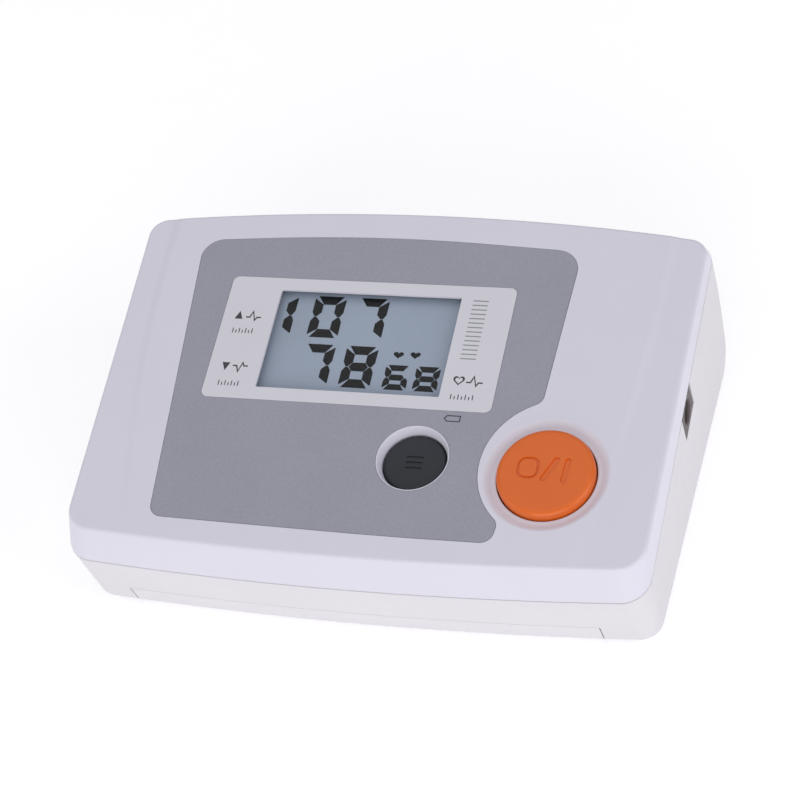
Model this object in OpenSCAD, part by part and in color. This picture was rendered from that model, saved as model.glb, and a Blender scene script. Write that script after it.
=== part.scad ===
// Desktop blood pressure monitor for an upper-arm cuff: the main unit.
// A wedge-shaped table case with a sloping face that carries a liquid crystal
// display, a large round start button and a smaller sunken memory button.
// Millimetres. +X is to the user's right, -Y is towards the user, +Z is up.
// The origin is the middle of the footprint, on the plane that the feet stand on.

/* [Body] */
// Width of the sloping face at its front corners
body_w = 158.2; // [157:0.1:159]
// Width of the sloping face at its back corners
back_w = 162.2; // [161:0.1:163]
// How far the body's middle lies to the right of the panel's middle line
body_x = 0.65; // [0.5:0.05:0.8]
// Distance of the face's front corners from the middle line
front_c = 51.5; // [51:0.1:52]
// Distance of the face's back corners from the middle line
back_c = 48.9; // [48.5:0.1:49.5]
// How far the front edge bows forward in the middle
front_bow = 3; // [2.8:0.1:3.2]
// How far the back edge bows backward in the middle
back_bow = 5.2; // [5:0.1:5.4]
// Height of the sloping face above the case floor, in the middle
top_z = 42.2; // [42:0.1:44]
// Slope of the face, in degrees
tilt = 10; // [9.5:0.1:10.5]
// How far the front wall stands out at the parting line, beyond the face's edge
front_out = 3; // [2.6:0.1:3.2]
// How far the side walls stand out at the parting line
side_out = 0.75; // [0.5:0.05:0.9]
// How far the front wall's foot lies behind the face's edge
front_lean = 2.6; // [2.2:0.1:3]
// How far the back wall's widest line lies behind the face's edge
back_lean = 5.7; // [5.4:0.1:6]
// Depth and height of the large round under the back wall
round_y = 11.4; // [10:0.1:12]
round_z = 7.7; // [7:0.1:9]
// Radius of the front corners and of the back corners, seen from above
corner_f = 7.8; // [7:0.1:8.5]
corner_b = 5.8; // [5.5:0.1:6.5]
// Radius of the top edges
edge_r = 1.3; // [1:0.1:1.6]
// Radius of the bottom edges
bottom_r = 2.6; // [2:0.1:3]
// Wall thickness of both shells
wall = 2.2; // [2:0.1:2.3]
// How far the rubber feet stand out below the case
foot_h = 1; // [0.8:0.1:1.4]

/* [Parting line] */
// Height of the parting plane above the case floor, in the middle
seam_z = 36; // [35.6:0.1:36.4]
// Slope of the parting plane, in degrees
seam_tilt = 12.4; // [12:0.1:12.8]

/* [Panel] */
// Window frame: width, height and centre on the sloping face
window_w = 82.2; // [80:0.1:84]
window_h = 39.9; // [38:0.1:41]
window_u = -9.1; // [-10:0.1:-8]
window_v = 11.2; // [10:0.1:12]
// Visible display area: width, height and centre
view_w = 52; // [50:0.1:53]
view_h = 32; // [31:0.1:33]
view_u = -9.1; // [-10:0.1:-8]
view_v = 11.3; // [10.5:0.1:12]
// Depth of the pocket that the grey panel overlay lies in
pocket = 0.55; // [0.4:0.05:0.6]

/* [Buttons] */
// Radius of the start button
start_r = 13; // [12.5:0.1:13.2]
// Radius of the memory button
memory_r = 8.5; // [8:0.1:8.6]
// Depth of the memory button's face below the sloping face
memory_sunk = 2.8; // [2.6:0.1:3]
// Travel of both buttons
press = 0.5; // [0.3:0.05:0.5]

/* [Battery bay] */
// Half width of the door's front lip
door_half = 65.35; // [65:0.05:65.4]
// Height of the door's front lip above the case floor
lip_h = 8.35; // [8:0.05:8.4]
// Diameter of an AA cell
cell_d = 14.5; // [14:0.1:14.5]

/* [Hidden] */
$fn = 64;
start_u = 50.2; start_v = -26.1;
memory_u = 13.7; memory_v = -23.8;
well_r = 9.95;              // mouth of the memory button's well
dish_r = 15.8;              // outer radius of the shallow dish around the start button
pcb_w = -12;                // top side of the board, below the sloping face
floor_t = 2.4;
bay_top = 17.8;
bay_x = 54.5;
row_a = -38.9; row_b = -23.9; cell_z = 10.25; cell_l = 50.5;
// the footprint is centred on the origin, front to back
y_shift = -1.25;
foot_f = 6.3; foot_b = 4;   // corner radii of the foot, front and back
back_in = 6;                // how far the back wall's curve runs in, up to the face
pump_y = 39; pump_z = 17.5; pump_x = -44;
valve_y = 15; valve_z = 12; valve_x = -30;
port_y = 12; port_z = 17.5;
hub_x = -57; hub_y = 26;
screw_xy = [[73, -28], [73, 38]];
post_uv = [[-44, 33.5], [-44, -40], [62, 33.5], [62, -40]];
foot_xy = [[70.5, -41.5], [61, 39.5]];
jack_s = 2.9; jack_w = -5.3; jack_x = 66.7;

function side_x(y) = body_w / 2 + (back_w - body_w) / 2 * (y + front_c) / (front_c + back_c);
function front_y(x) = -front_c - front_bow * (1 - pow(x / (body_w / 2), 2));
function back_y(x) = back_c + back_bow * (1 - pow(x / (back_w / 2), 2));
function face_z(y) = top_z + y * tan(tilt);
function seam_at(y) = seam_z + y * tan(seam_tilt);

// ---------- frames of reference ----------
module in_case() translate([0, y_shift, foot_h]) children();
// u to the right, v up the slope, w out of the sloping face
module on_face(u = 0, v = 0, w = 0) in_case() translate([0, 0, top_z])
  rotate([tilt, 0, 0]) translate([u, v, w]) children();
module on_seam(s = 0, w = 0) in_case() translate([0, 0, seam_z])
  rotate([seam_tilt, 0, 0]) translate([0, s, w]) children();
// axis along +X
module along_x(x, y, z) translate([x, y, z]) rotate([0, 90, 0]) children();

// ---------- outer form ----------
steps = [-1, -0.66, -0.33, 0, 0.33, 0.66, 1];
// The case's closed form, or the same form moved inward by t
module form(t = 0, low = 0, f = 24) translate([body_x, 0, 0]) hull() for (k = steps) {
  xf = k * (side_x(corner_f - front_c) - corner_f);
  yf = front_y(xf) + corner_f;
  rim(xf, yf, corner_f, t, f);
  belt(xf + k * side_out, yf - front_out, -1, corner_f, t, f);
  xb = k * (side_x(back_c - corner_b) - corner_b);
  yb = back_y(xb) - corner_b;
  rim(xb, yb, corner_b, t, f);
  belt(xb + k * side_out, yb + 0.85, 1, corner_b, t, f);
  xg = k * (body_w / 2 + 0.5 - foot_f);
  translate([xg, front_y(xg) + front_lean + foot_f, low]) foot_disc(foot_f, t, f);
  // back wall: a shallow curve down to its widest line, then a large round
  xh = k * (back_w / 2 - 0.6 - foot_b);
  yh = back_y(xh) + back_lean;
  zt = face_z(yb);
  for (q = [0.35, 0.7]) let (z = round_z + q * (zt - round_z))
    translate([xh + k * (side_out + 0.6) * z / 47, yh - back_in * q * q - foot_b, z]) disc(foot_b - t, f);
  for (a = [0, 20, 40, 60, 78, 90])
    translate([xh, yh - round_y + (round_y - t) * cos(a) - (foot_b - t),
      max(low, round_z - (round_z - t) * sin(a))]) disc(foot_b - t, f);
}
module disc(r, f) cylinder(r = max(r, 0.3), h = 0.01, $fn = f);
// rounded disc in the plane of the sloping face
module rim(x, y, r, t, f) translate([x, y, face_z(y)]) rotate([tilt, 0, 0]) translate([0, 0, -t]) {
  e = max(edge_r - t, 0.05);
  for (a = [0, 30, 60, 90]) translate([0, 0, -e * (1 - cos(a)) - 0.01]) disc(r - t - e + e * sin(a), f);
}
// disc at the height of the parting line
module belt(x, y, side, r, t, f) translate([x, y, seam_at(y + side * r)]) disc(r - t, f);
module foot_disc(c, t, f) {
  r = c - t; b = t > 0 ? 0.6 : bottom_r;
  translate([0, 0, b]) disc(r, f);
  translate([0, 0, b * 0.3]) disc(r - b * 0.29, f);
  disc(r - b, f);
}
module above_seam(gap = 0) on_slope(gap) translate([-120, -120, 0]) cube([240, 240, 80]);
module below_seam(gap = 0) on_slope(-gap) translate([-120, -120, -80]) cube([240, 240, 80]);
module on_slope(w) translate([0, 0, seam_z]) rotate([seam_tilt, 0, 0]) translate([0, 0, w]) children();

// ---------- flat outlines on the sloping face ----------
module overlay_outline(grow = 0) {
  offset(r = grow) offset(r = 3.2) offset(delta = -3.2) difference() {
    hull() {
      // rounded corners: u, v, radius
      for (c = [[-55.8, 37.4, 6], [40.4, 37.4, 6.8], [-51.4, -42.9, 3.7], [36.4, -44, 3.3]])
        translate([c[0], c[1]]) circle(r = c[2], $fn = 48);
      polygon([[-33, 45.1], [-8, 45.9], [18, 45.4], [45.3, -4], [34, -47.3], [0, -47.3]]);
    }
    translate([53.1, -24.4]) circle(r = 21.3, $fn = 96);
  }
}
module rounded_rect(w, h, r) {
  hull() for (sx = [-1, 1], sy = [-1, 1])
    translate([sx * (w / 2 - r), sy * (h / 2 - r)]) circle(r = r, $fn = 32);
}
module box_frame(w, h, t, iw, ih) difference() {
  translate([-w / 2, -h / 2, 0]) cube([w, h, t]);
  translate([-iw / 2, -ih / 2, -1]) cube([iw, ih, t + 2]);
}

// ---------- swept tubes and wires ----------
function unit(v) = v / norm(v);
function tang(p, i) = unit(p[min(i + 1, len(p) - 1)] - p[max(i - 1, 0)]);
function side0(t) = unit(cross(t, abs(t[2]) < 0.8 ? [0, 0, 1] : [1, 0, 0]));
function sides(p, i = 0, acc = []) = i == len(p) ? acc :
  let (t = tang(p, i), s = i == 0 ? side0(t) : unit(acc[i - 1] - t * (acc[i - 1] * t)))
  sides(p, i + 1, concat(acc, [s]));
function blend(a, b, c, d, t) = 0.5 * (2 * b + (c - a) * t + (2 * a - 5 * b + 4 * c - d) * t * t
  + (3 * b - a - 3 * c + d) * t * t * t);
function smooth(p, k) = concat([for (i = [0:len(p) - 2], j = [0:k - 1])
  blend(p[max(i - 1, 0)], p[i], p[i + 1], p[min(i + 2, len(p) - 1)], j / k)], [p[len(p) - 1]]);
function ring(p, s, r, n) = [for (i = [0:len(p) - 1]) let (t = tang(p, i), b = cross(t, s[i]))
  for (k = [0:n - 1]) p[i] + r * (cos(360 * k / n) * s[i] + sin(360 * k / n) * b)];
module wire(p, r, n = 8) {
  m = len(p);
  polyhedron(ring(p, sides(p), r, n), concat(
    [[for (k = [0:n - 1]) k]], [[for (k = [0:n - 1]) m * n - 1 - k]],
    [for (i = [0:m - 2], k = [0:n - 1]) [i * n + k, (i + 1) * n + k, i * n + (k + 1) % n]],
    [for (i = [0:m - 2], k = [0:n - 1]) [(i + 1) * n + k, (i + 1) * n + (k + 1) % n, i * n + (k + 1) % n]]));
}
module hose(p, ro, ri, n = 12) {
  m = len(p); s = sides(p); q = m * n;
  polyhedron(concat(ring(p, s, ro, n), ring(p, s, ri, n)), concat(
    [for (i = [0:m - 2], k = [0:n - 1]) [i * n + k, (i + 1) * n + k, i * n + (k + 1) % n]],
    [for (i = [0:m - 2], k = [0:n - 1]) [(i + 1) * n + k, (i + 1) * n + (k + 1) % n, i * n + (k + 1) % n]],
    [for (i = [0:m - 2], k = [0:n - 1]) [q + i * n + (k + 1) % n, q + (i + 1) * n + k, q + i * n + k]],
    [for (i = [0:m - 2], k = [0:n - 1]) [q + i * n + (k + 1) % n, q + (i + 1) * n + (k + 1) % n, q + (i + 1) * n + k]],
    [for (k = [0:n - 1]) [k, (k + 1) % n, q + (k + 1) % n, q + k]],
    [for (k = [0:n - 1]) let (e = (m - 1) * n) [q + e + k, q + e + (k + 1) % n, e + (k + 1) % n, e + k]]));
}
// Points along a coil of the given radius, from 0 to length l
function coil(r, l, turns, per) = [for (i = [0:turns * per]) let (a = 360 * i / per)
  [r * cos(a), r * sin(a), l * i / (turns * per)]];

// ---------- shells ----------
module top_cover() color([0.79, 0.78, 0.83]) {
  difference() {
    union() {
      in_case() difference() {
        intersection() { form(); above_seam(0.05); }
        form(wall, floor_t - 1, 16);
      }
      // collars that guide the two buttons
      on_face(start_u, start_v, -4.7) cylinder(r = 14.9, h = 3.4);
      on_face(memory_u, memory_v, -4.7) cylinder(r = 10.6, h = 3.4);
      // posts that carry the board
      for (p = post_uv) on_face(p[0], p[1], pcb_w) cylinder(r = 2.6, h = -pcb_w - 1.2);
      // bosses that take the case screws
      in_case() for (p = screw_xy, m = [-1, 1]) intersection() {
        translate([m * p[0], p[1], 20]) cylinder(r = 3.6, h = face_z(p[1]) - 21.2);
        above_seam(0.05);
      }
    }
    // pockets for the overlay, the window frame and the lens
    on_face(0, 0, -pocket) linear_extrude(3) overlay_outline(0.12);
    on_face(window_u, window_v, -0.9) linear_extrude(2) rounded_rect(window_w + 0.2, window_h + 0.2, 2.1);
    on_face(view_u, view_v, -1.95) translate([-29.1, -18.6, 0]) cube([58.2, 37.2, 3]);
    on_face(view_u, view_v, -4) translate([-27.2, -17, 0]) cube([54.4, 34, 6]);
    // dish and hole of the start button
    on_face(start_u, start_v, -1.2) cylinder(r1 = 13.4, r2 = dish_r, h = 1.2);
    on_face(start_u, start_v, -0.01) cylinder(r = dish_r, h = 2);
    on_face(start_u, start_v, -6) cylinder(r = start_r + 0.35, h = 6);
    // sunken well of the memory button
    on_face(memory_u, memory_v, -2.7) cylinder(r1 = memory_r + 0.35, r2 = well_r, h = 2.7);
    on_face(memory_u, memory_v, -0.6) cylinder(r = well_r, h = 2);
    on_face(memory_u, memory_v, -6) cylinder(r = memory_r + 0.35, h = 5);
    // pilot holes of the board screws and of the case screws
    for (p = post_uv) on_face(p[0], p[1], pcb_w - 1) cylinder(r = 0.95, h = 8);
    in_case() for (p = screw_xy, m = [-1, 1])
      translate([m * p[0], p[1], 20]) cylinder(r = 1.15, h = face_z(p[1]) - 21.2);
  }
}
module bottom_case() color([0.88, 0.87, 0.9]) in_case() difference() {
  union() {
    difference() {
      intersection() { form(); below_seam(); }
      form(wall, floor_t - 0.0001, 16);
    }
    // everything that stands inside, trimmed to the case
    intersection() {
      form(0.8, 0, 16);
      below_seam(0.3);
      union() {
        // ceiling and walls of the battery bay
        translate([-57, -55, bay_top]) cube([114, 55 - 14.7, 1.5]);
        for (m = [-1, 1]) translate([m * (bay_x + 0.75) - 0.75, -46.7, 2.7]) cube([1.5, 32, bay_top - 2]);
        translate([-57, -16.2, 2.7]) cube([114, 1.5, bay_top - 2]);
        translate([-57, -14.7, 0.6]) cube([114, 1.6, bay_top + 0.9]);
        translate([-57, -48.1, lip_h + 0.3]) cube([114, 1.5, bay_top - lip_h]);
        // rails above the door's tongues, with their outer walls
        for (m = [-1, 1]) {
          translate([m * 65 - 2.2, -46.5, floor_t]) cube([4.4, 33.4, 1.6]);
          translate([m * 66.5 - 0.8, -46.5, 0.6]) cube([1.6, 33.4, 3.4]);
        }
        // columns for the case screws
        for (p = screw_xy, m = [-1, 1]) translate([m * p[0], p[1], 0.5]) cylinder(r = 4.2, h = 60);
        // saddles under the pump
        for (x = [-21, -1]) translate([x - 2, pump_y - 15, 1]) cube([4, 30, pump_z - 1]);
        // stand under the valve
        translate([valve_x + 1, valve_y - 6, 1]) cube([18, 12, 3.95]);
        // cradle of the power socket
        translate([0, 0, seam_z]) rotate([seam_tilt, 0, 0])
          translate([65.2, jack_s - 7.2, -24]) cube([14.2, 14.4, 23.6]);
        // stand of the air port
        translate([-77, port_y - 6, 1]) cube([4, 12, port_z - 1]);
      }
    }
    // inner rim that locates the cover
    intersection() {
      difference() {
        form(wall + 0.15, 4, 16);
        translate([0, 0, 3]) form(wall + 1.15, 2, 16);
        for (p = screw_xy, m = [-1, 1]) translate([m * p[0], p[1], 0]) cylinder(r = 4, h = 80);
      }
      on_slope(-1.2) translate([-120, -120, 0]) cube([240, 240, 2.6]);
    }
  }
  // slot of the battery door: lip, plate and tongues
  translate([-65.65, -70, -1]) cube([131.3, 70 - 46.9, lip_h + 1.3]);
  translate([-62.8, -60, -1]) cube([125.6, 60 - 14.7, floor_t + 1.3]);
  translate([-65.65, -60, 0.9]) cube([131.3, 60 - 14.7, floor_t - 0.9]);
  // counterbores and clearance holes of the case screws
  for (p = screw_xy, m = [-1, 1]) translate([m * p[0], p[1], 0]) {
    translate([0, 0, -1]) cylinder(r = 3.1, h = seam_at(p[1]) - 6.8);
    cylinder(r = 1.45, h = 70);
  }
  // saddles follow the pump's cushions
  along_x(-40, pump_y, pump_z) cylinder(r = 13.85, h = 60);
  // recesses of the feet
  for (p = foot_xy, m = [-1, 1]) translate([m * p[0], p[1], -1]) cylinder(r = 4.6, h = 1.8);
  // window of the power socket and room for its body
  translate([0, 0, seam_z]) rotate([seam_tilt, 0, 0]) {
    translate([66.5, jack_s - 5.9, -10.4]) cube([30, 11.8, 12]);
    translate([60, jack_s - 4, -9]) cube([10, 8, 12]);
  }
  // hole and saddle of the air port
  along_x(-90, port_y, port_z) cylinder(r = 5.6, h = 15.5);
  along_x(-78.9, port_y, port_z) cylinder(r = 5.6, h = 10);
  translate([-79, port_y - 7.5, port_z - 7.5]) cube([2, 15, 30]);
  // shallow bare field for a rating plate
  translate([-30, 2, -1]) cube([60, 22, 1.3]);
  // door closes flush, so the seam side needs room for the rim of the lip
  translate([-65.65, -48.6, lip_h - 0.2]) cube([131.3, 1.7, 0.5]);
}
module battery_door() color([0.87, 0.86, 0.89]) in_case() intersection() {
  form();
  union() {
    translate([-62.5, -70, -0.5]) cube([125, 55, 2.6]);
    translate([-door_half, -70, 1.2]) cube([2 * door_half, 55, 0.9]);
    translate([-door_half, -70, -0.5]) cube([2 * door_half, 70 - 47.3, lip_h + 0.5]);
  }
}
module door_foam() color([0.25, 0.25, 0.27]) in_case()
  translate([-40, -35, 2.1]) cube([80, 8, 0.6]);
module rubber_feet() color([0.2, 0.2, 0.21]) in_case()
  for (p = foot_xy, m = [-1, 1]) translate([m * p[0], p[1], -foot_h]) {
    cylinder(r1 = 4.1, r2 = 4.5, h = 0.4);
    translate([0, 0, 0.4]) cylinder(r = 4.5, h = foot_h + 0.4);
  }
module screw(l, r, head_r, head_h) {
  difference() {
    translate([0, 0, -head_h]) cylinder(r = head_r, h = head_h);
    for (a = [0, 90]) rotate([0, 0, a]) translate([-1.1, -0.3, -head_h - 1]) cube([2.2, 0.6, 1 + head_h * 0.6]);
  }
  cylinder(r = r, h = l - 0.8);
  translate([0, 0, l - 0.8]) cylinder(r1 = r, r2 = r * 0.35, h = 0.8);
}
module case_screws() color([0.6, 0.6, 0.62]) in_case()
  for (p = screw_xy, m = [-1, 1]) translate([m * p[0], p[1], seam_at(p[1]) - 7.85])
    screw(11, 1.1, 2.5, 1.8);

// ---------- panel and display ----------
module panel_overlay() color([0.6, 0.6, 0.65]) on_face(0, 0, -pocket + 0.02) linear_extrude(pocket - 0.12)
  difference() {
    overlay_outline(0);
    translate([window_u, window_v]) square([window_w + 0.3, window_h + 0.3], center = true);
    translate([memory_u, memory_v]) circle(r = well_r + 0.1);
  }
module window_frame() color([0.78, 0.78, 0.81]) on_face(window_u, window_v, -0.85) difference() {
  linear_extrude(0.77) rounded_rect(window_w, window_h, 2);
  translate([view_u - window_u - view_w / 2, view_v - window_v - view_h / 2, -1]) cube([view_w, view_h, 3]);
}
module display_lens() color([0.8, 0.85, 0.88, 0.35]) on_face(view_u, view_v, -1.92)
  translate([-29, -18.5, 0]) cube([58, 37, 1]);
module display_gasket() color([0.2, 0.2, 0.2]) on_face(view_u, view_v, -2.62)
  box_frame(58.6, 38.6, 0.4, 55, 34.6);
module lcd_glass() color([0.6, 0.66, 0.68]) on_face(view_u, view_v, -5.0) {
  translate([-29, -17, 1.1]) cube([58, 36, 1.1]);
  translate([-29, -19, 0]) cube([58, 38, 1.1]);
}
module lcd_reflector() color([0.9, 0.9, 0.88]) on_face(view_u, view_v, -5.3)
  translate([-27, -16, 0]) cube([54, 32, 0.28]);
module lcd_holder() color([0.85, 0.85, 0.86]) on_face(view_u, view_v, pcb_w) difference() {
  translate([-30.6, -20.4, 0]) cube([61.2, 40.8, 9.2]);
  translate([-29.2, -19.2, 7]) cube([58.4, 38.4, 5]);
  translate([-27.2, -16.2, 6.6]) cube([54.4, 32.4, 5]);
  translate([-27.2, -15.6, -1]) cube([54.4, 31.2, 6.4]);
  for (v = [-17.9, 17.9]) translate([-26.2, v - 1.15, -1]) cube([52.4, 2.3, 12]);
}
module zebra_connectors() color([0.75, 0.45, 0.5]) on_face(view_u, view_v, pcb_w)
  for (v = [-17.9, 17.9]) translate([-26, v - 1, 0.02]) cube([52, 2, 6.96]);
module main_pcb() color([0.1, 0.42, 0.2]) on_face(0, 0, pcb_w - 1.6) difference() {
  translate([-47, -43.5, 0]) cube([112.5, 80.5, 1.58]);
  for (p = post_uv) translate([p[0], p[1], -1]) cylinder(r = 1.25, h = 4);
  translate([54, -8, -1]) cube([20, 24, 4]);
}
module pcb_screws() color([0.65, 0.65, 0.67]) for (p = post_uv)
  on_face(p[0], p[1], pcb_w - 1.62) screw(6, 0.9, 2.1, 1.4);

// ---------- buttons ----------
module start_button() color([0.82, 0.4, 0.2]) on_face(start_u, start_v, 0) rotate_extrude()
  polygon([[0, 1.4], [11.4, 1.4], [12.2, 1.24], [12.75, 0.8], [start_r, 0.15], [start_r, -5],
    [14.3, -5], [14.3, -6.2], [11.4, -6.2], [11.4, -1.6], [2.4, -1.6], [2.4, -7.55], [0, -7.55]]);
module memory_button() color([0.2, 0.21, 0.23]) on_face(memory_u, memory_v, 0) rotate_extrude()
  polygon([[0, -memory_sunk], [memory_r - 0.9, -memory_sunk], [memory_r - 0.3, -memory_sunk - 0.2],
    [memory_r, -memory_sunk - 0.7], [memory_r, -5], [9.8, -5], [9.8, -6.1], [7.1, -6.1],
    [7.1, -4.4], [2.2, -4.4], [2.2, -7.55], [0, -7.55]]);
module switch_body(u, v) on_face(u, v, pcb_w) {
  difference() {
    translate([-3, -3, 0]) cube([6, 6, 3.4]);
    translate([0, 0, 2]) cylinder(r = 1.8, h = 3);
  }
  for (x = [-3.6, 3], y = [-2.5, 1.8]) translate([x, y, 0]) cube([0.6, 0.7, 1.2]);
}
module switch_plunger(u, v) on_face(u, v, pcb_w + 2.7) cylinder(r = 1.74, h = 1.65);
module start_switch() color([0.15, 0.15, 0.16]) switch_body(start_u, start_v);
module start_switch_plunger() color([0.7, 0.3, 0.2]) switch_plunger(start_u, start_v);
module memory_switch() color([0.15, 0.15, 0.16]) switch_body(memory_u, memory_v);
module memory_switch_plunger() color([0.7, 0.3, 0.2]) switch_plunger(memory_u, memory_v);

// ---------- board parts, on the underside ----------
module chip(u, v, l, w, h, pins) on_face(u, v, pcb_w - 1.62 - h) {
  translate([-l / 2, -w / 2, 0]) cube([l, w, h - 0.1]);
  for (i = [0:pins - 1], s = [-1, 1])
    translate([-l / 2 + (i + 0.5) * l / pins - 0.15, s * (w / 2 + 0.4) - 0.4, h - 0.5]) cube([0.3, 0.8, 0.5]);
}
module control_chips() color([0.12, 0.12, 0.13]) {
  chip(18, 12, 12, 12, 1.6, 12);
  chip(-4, -2, 5, 4, 1.5, 4);
  chip(36, 24, 9, 5, 1.5, 7);
}
module pcb_capacitors() color([0.15, 0.2, 0.4]) {
  for (p = [[46, 16, 3.1, 7], [38, 10, 2.5, 5.4], [46, 26, 2.5, 5.4]])
    on_face(p[0], p[1], pcb_w - 1.62 - p[3]) cylinder(r = p[2], h = p[3]);
}
module clock_crystal() color([0.8, 0.8, 0.78]) on_face(3, 12, pcb_w - 1.62 - 2.4)
  translate([-5, -2, 0]) cube([10, 4, 2.4]);
module buzzer() color([0.1, 0.1, 0.1]) on_face(40, -6, pcb_w - 1.62 - 6) difference() {
  cylinder(r = 6, h = 6);
  translate([0, 0, -1]) cylinder(r = 1, h = 2.2);
}
module pressure_sensor() color([0.88, 0.87, 0.82]) on_face(-38, 22, pcb_w - 1.62 - 5.2) {
  translate([-5, -4, 0]) cube([10, 8, 5.2]);
  along_x(-12, 0, 1.8) difference() { cylinder(r = 1.9, h = 7.2); translate([0, 0, -1]) cylinder(r = 0.7, h = 7); }
}

// ---------- power socket ----------
module dc_jack() color([0.45, 0.43, 0.42]) in_case() translate([0, 0, seam_z]) rotate([seam_tilt, 0, 0]) difference() {
  translate([jack_x, jack_s - 5.75, -10.3]) cube([13.5, 11.5, 10.15]);
  along_x(jack_x + 4, jack_s, jack_w) cylinder(r = 3.2, h = 20);
  along_x(jack_x - 1, jack_s, jack_w) cylinder(r = 1.8, h = 6);
}
module dc_jack_contacts() color([0.8, 0.75, 0.55]) in_case() translate([0, 0, seam_z]) rotate([seam_tilt, 0, 0]) {
  along_x(jack_x - 2.5, jack_s, jack_w) cylinder(r = 1.7, h = 6.4);
  along_x(jack_x + 3.5, jack_s, jack_w) cylinder(r = 1, h = 9);
  translate([jack_x - 2.5, jack_s - 3.8, -7.3]) cube([2.45, 0.5, 2]);
}

// ---------- batteries ----------
module cell() {
  cylinder(r = cell_d / 2, h = cell_l - 1.2);
  translate([0, 0, cell_l - 1.2]) cylinder(r = 2.7, h = 1.2);
}
module aa_cells() color([0.35, 0.36, 0.4]) in_case() {
  for (i = [0, 1]) {
    along_x(bay_x - 0.4 - cell_l - (cell_l + 0.02) * i, row_a, cell_z) cell();
    translate([-bay_x + 0.4 + cell_l + (cell_l + 0.02) * i, row_b, cell_z]) rotate([0, -90, 0]) cell();
  }
}
module battery_springs() color([0.8, 0.8, 0.78]) in_case() {
  l = 2 * bay_x - 0.8 - 2 * cell_l;
  along_x(-bay_x + 0.4 + 0.4, row_a, cell_z) wire(coil(3.4, l - 0.84, 4, 12), 0.38, 6);
  along_x(bay_x - 0.4 - l + 0.44, row_b, cell_z) wire(coil(3.4, l - 0.84, 4, 12), 0.38, 6);
}
module battery_contacts() color([0.82, 0.8, 0.72]) in_case() {
  translate([bay_x - 0.39, row_a - 5.5, cell_z - 5.5]) cube([0.38, row_b - row_a + 11, 11]);
  for (y = [row_a, row_b]) translate([-bay_x + 0.01, y - 5.5, cell_z - 5.5]) cube([0.38, 11, 11]);
}

// ---------- pump ----------
module pump_head() color([0.12, 0.12, 0.13]) in_case() along_x(pump_x, pump_y, pump_z) difference() {
  union() {
    cylinder(r = 13, h = 6.4);
    translate([0, 0, -5]) cylinder(r = 1.9, h = 5);
  }
  translate([0, 0, -6]) cylinder(r = 1, h = 9);
  translate([0, 0, 3]) cylinder(r = 9, h = 2);
  for (a = [0, 120, 240]) rotate([0, 0, a]) translate([6, 0, 4]) cylinder(r = 1.4, h = 4);
}
module pump_diaphragm() color([0.3, 0.28, 0.27]) in_case() along_x(pump_x + 6.45, pump_y, pump_z) {
  cylinder(r = 11.4, h = 1.8);
  for (a = [0, 120, 240]) rotate([0, 0, a]) translate([6, 0, 1.8]) cylinder(r = 3.4, h = 3.6);
}
module pump_housing() color([0.86, 0.86, 0.84]) in_case() along_x(pump_x + 6.45, pump_y, pump_z) difference() {
  cylinder(r = 13, h = 13.5);
  translate([0, 0, -1]) cylinder(r = 11.7, h = 12.5);
  cylinder(r = 3.4, h = 20);
}
module pump_yoke() color([0.9, 0.88, 0.8]) in_case() along_x(pump_x + 12, pump_y, pump_z) difference() {
  union() { cylinder(r = 4, h = 2.2); for (a = [0, 120, 240]) rotate([0, 0, a]) translate([0, -2, 0]) cube([8.4, 4, 1.4]); }
  translate([0, 0, 0.8]) cylinder(r = 2.9, h = 3);
}
module pump_rotor() color([0.55, 0.5, 0.45]) in_case() along_x(pump_x + 12, pump_y, pump_z) {
  // eccentric pin, crank disc, shaft, armature and commutator
  translate([1.8, 0, 1.1]) cylinder(r = 0.75, h = 2.2);
  translate([0, 0, 2.8]) cylinder(r = 3, h = 2.6);
  translate([0, 0, 5.3]) cylinder(r = 1, h = 40);
  translate([0, 0, 14]) difference() {
    cylinder(r = 8.4, h = 20);
    for (a = [0, 120, 240]) rotate([0, 0, a]) translate([4.4, -0.7, -1]) cube([6, 1.4, 22]);
  }
  translate([0, 0, 35.5]) cylinder(r = 2.6, h = 4);
}
module pump_motor_can() color([0.72, 0.72, 0.74]) in_case() along_x(pump_x + 19.95, pump_y, pump_z) difference() {
  union() { cylinder(r = 12, h = 34); translate([0, 0, -1.9]) cylinder(r = 3.1, h = 2); }
  translate([0, 0, 1]) cylinder(r = 11.2, h = 40);
  translate([0, 0, -3]) cylinder(r = 1.05, h = 10);
}
module pump_motor_cap() color([0.1, 0.1, 0.1]) in_case() along_x(pump_x + 53.95, pump_y, pump_z) difference() {
  union() { cylinder(r = 12, h = 3); translate([0, 0, 3]) cylinder(r = 3, h = 1.6); translate([0, 0, -1.5]) cylinder(r = 11, h = 1.6); }
  translate([0, 0, -3]) cylinder(r = 1.05, h = 7);
}
module pump_magnets() color([0.25, 0.25, 0.26]) in_case() along_x(pump_x + 25, pump_y, pump_z) difference() {
  cylinder(r = 11.1, h = 22);
  translate([0, 0, -1]) cylinder(r = 9, h = 24);
  for (a = [0, 180]) rotate([0, 0, a]) translate([0, -2, -1]) cube([20, 4, 24]);
}
module pump_cushions() color([0.18, 0.18, 0.19]) in_case()
  for (x = [-21, -1]) along_x(x - 2.6, pump_y, pump_z) difference() {
    cylinder(r = 13.8, h = 5.2);
    translate([0, 0, -1]) cylinder(r = 12.03, h = 8);
  }

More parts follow.
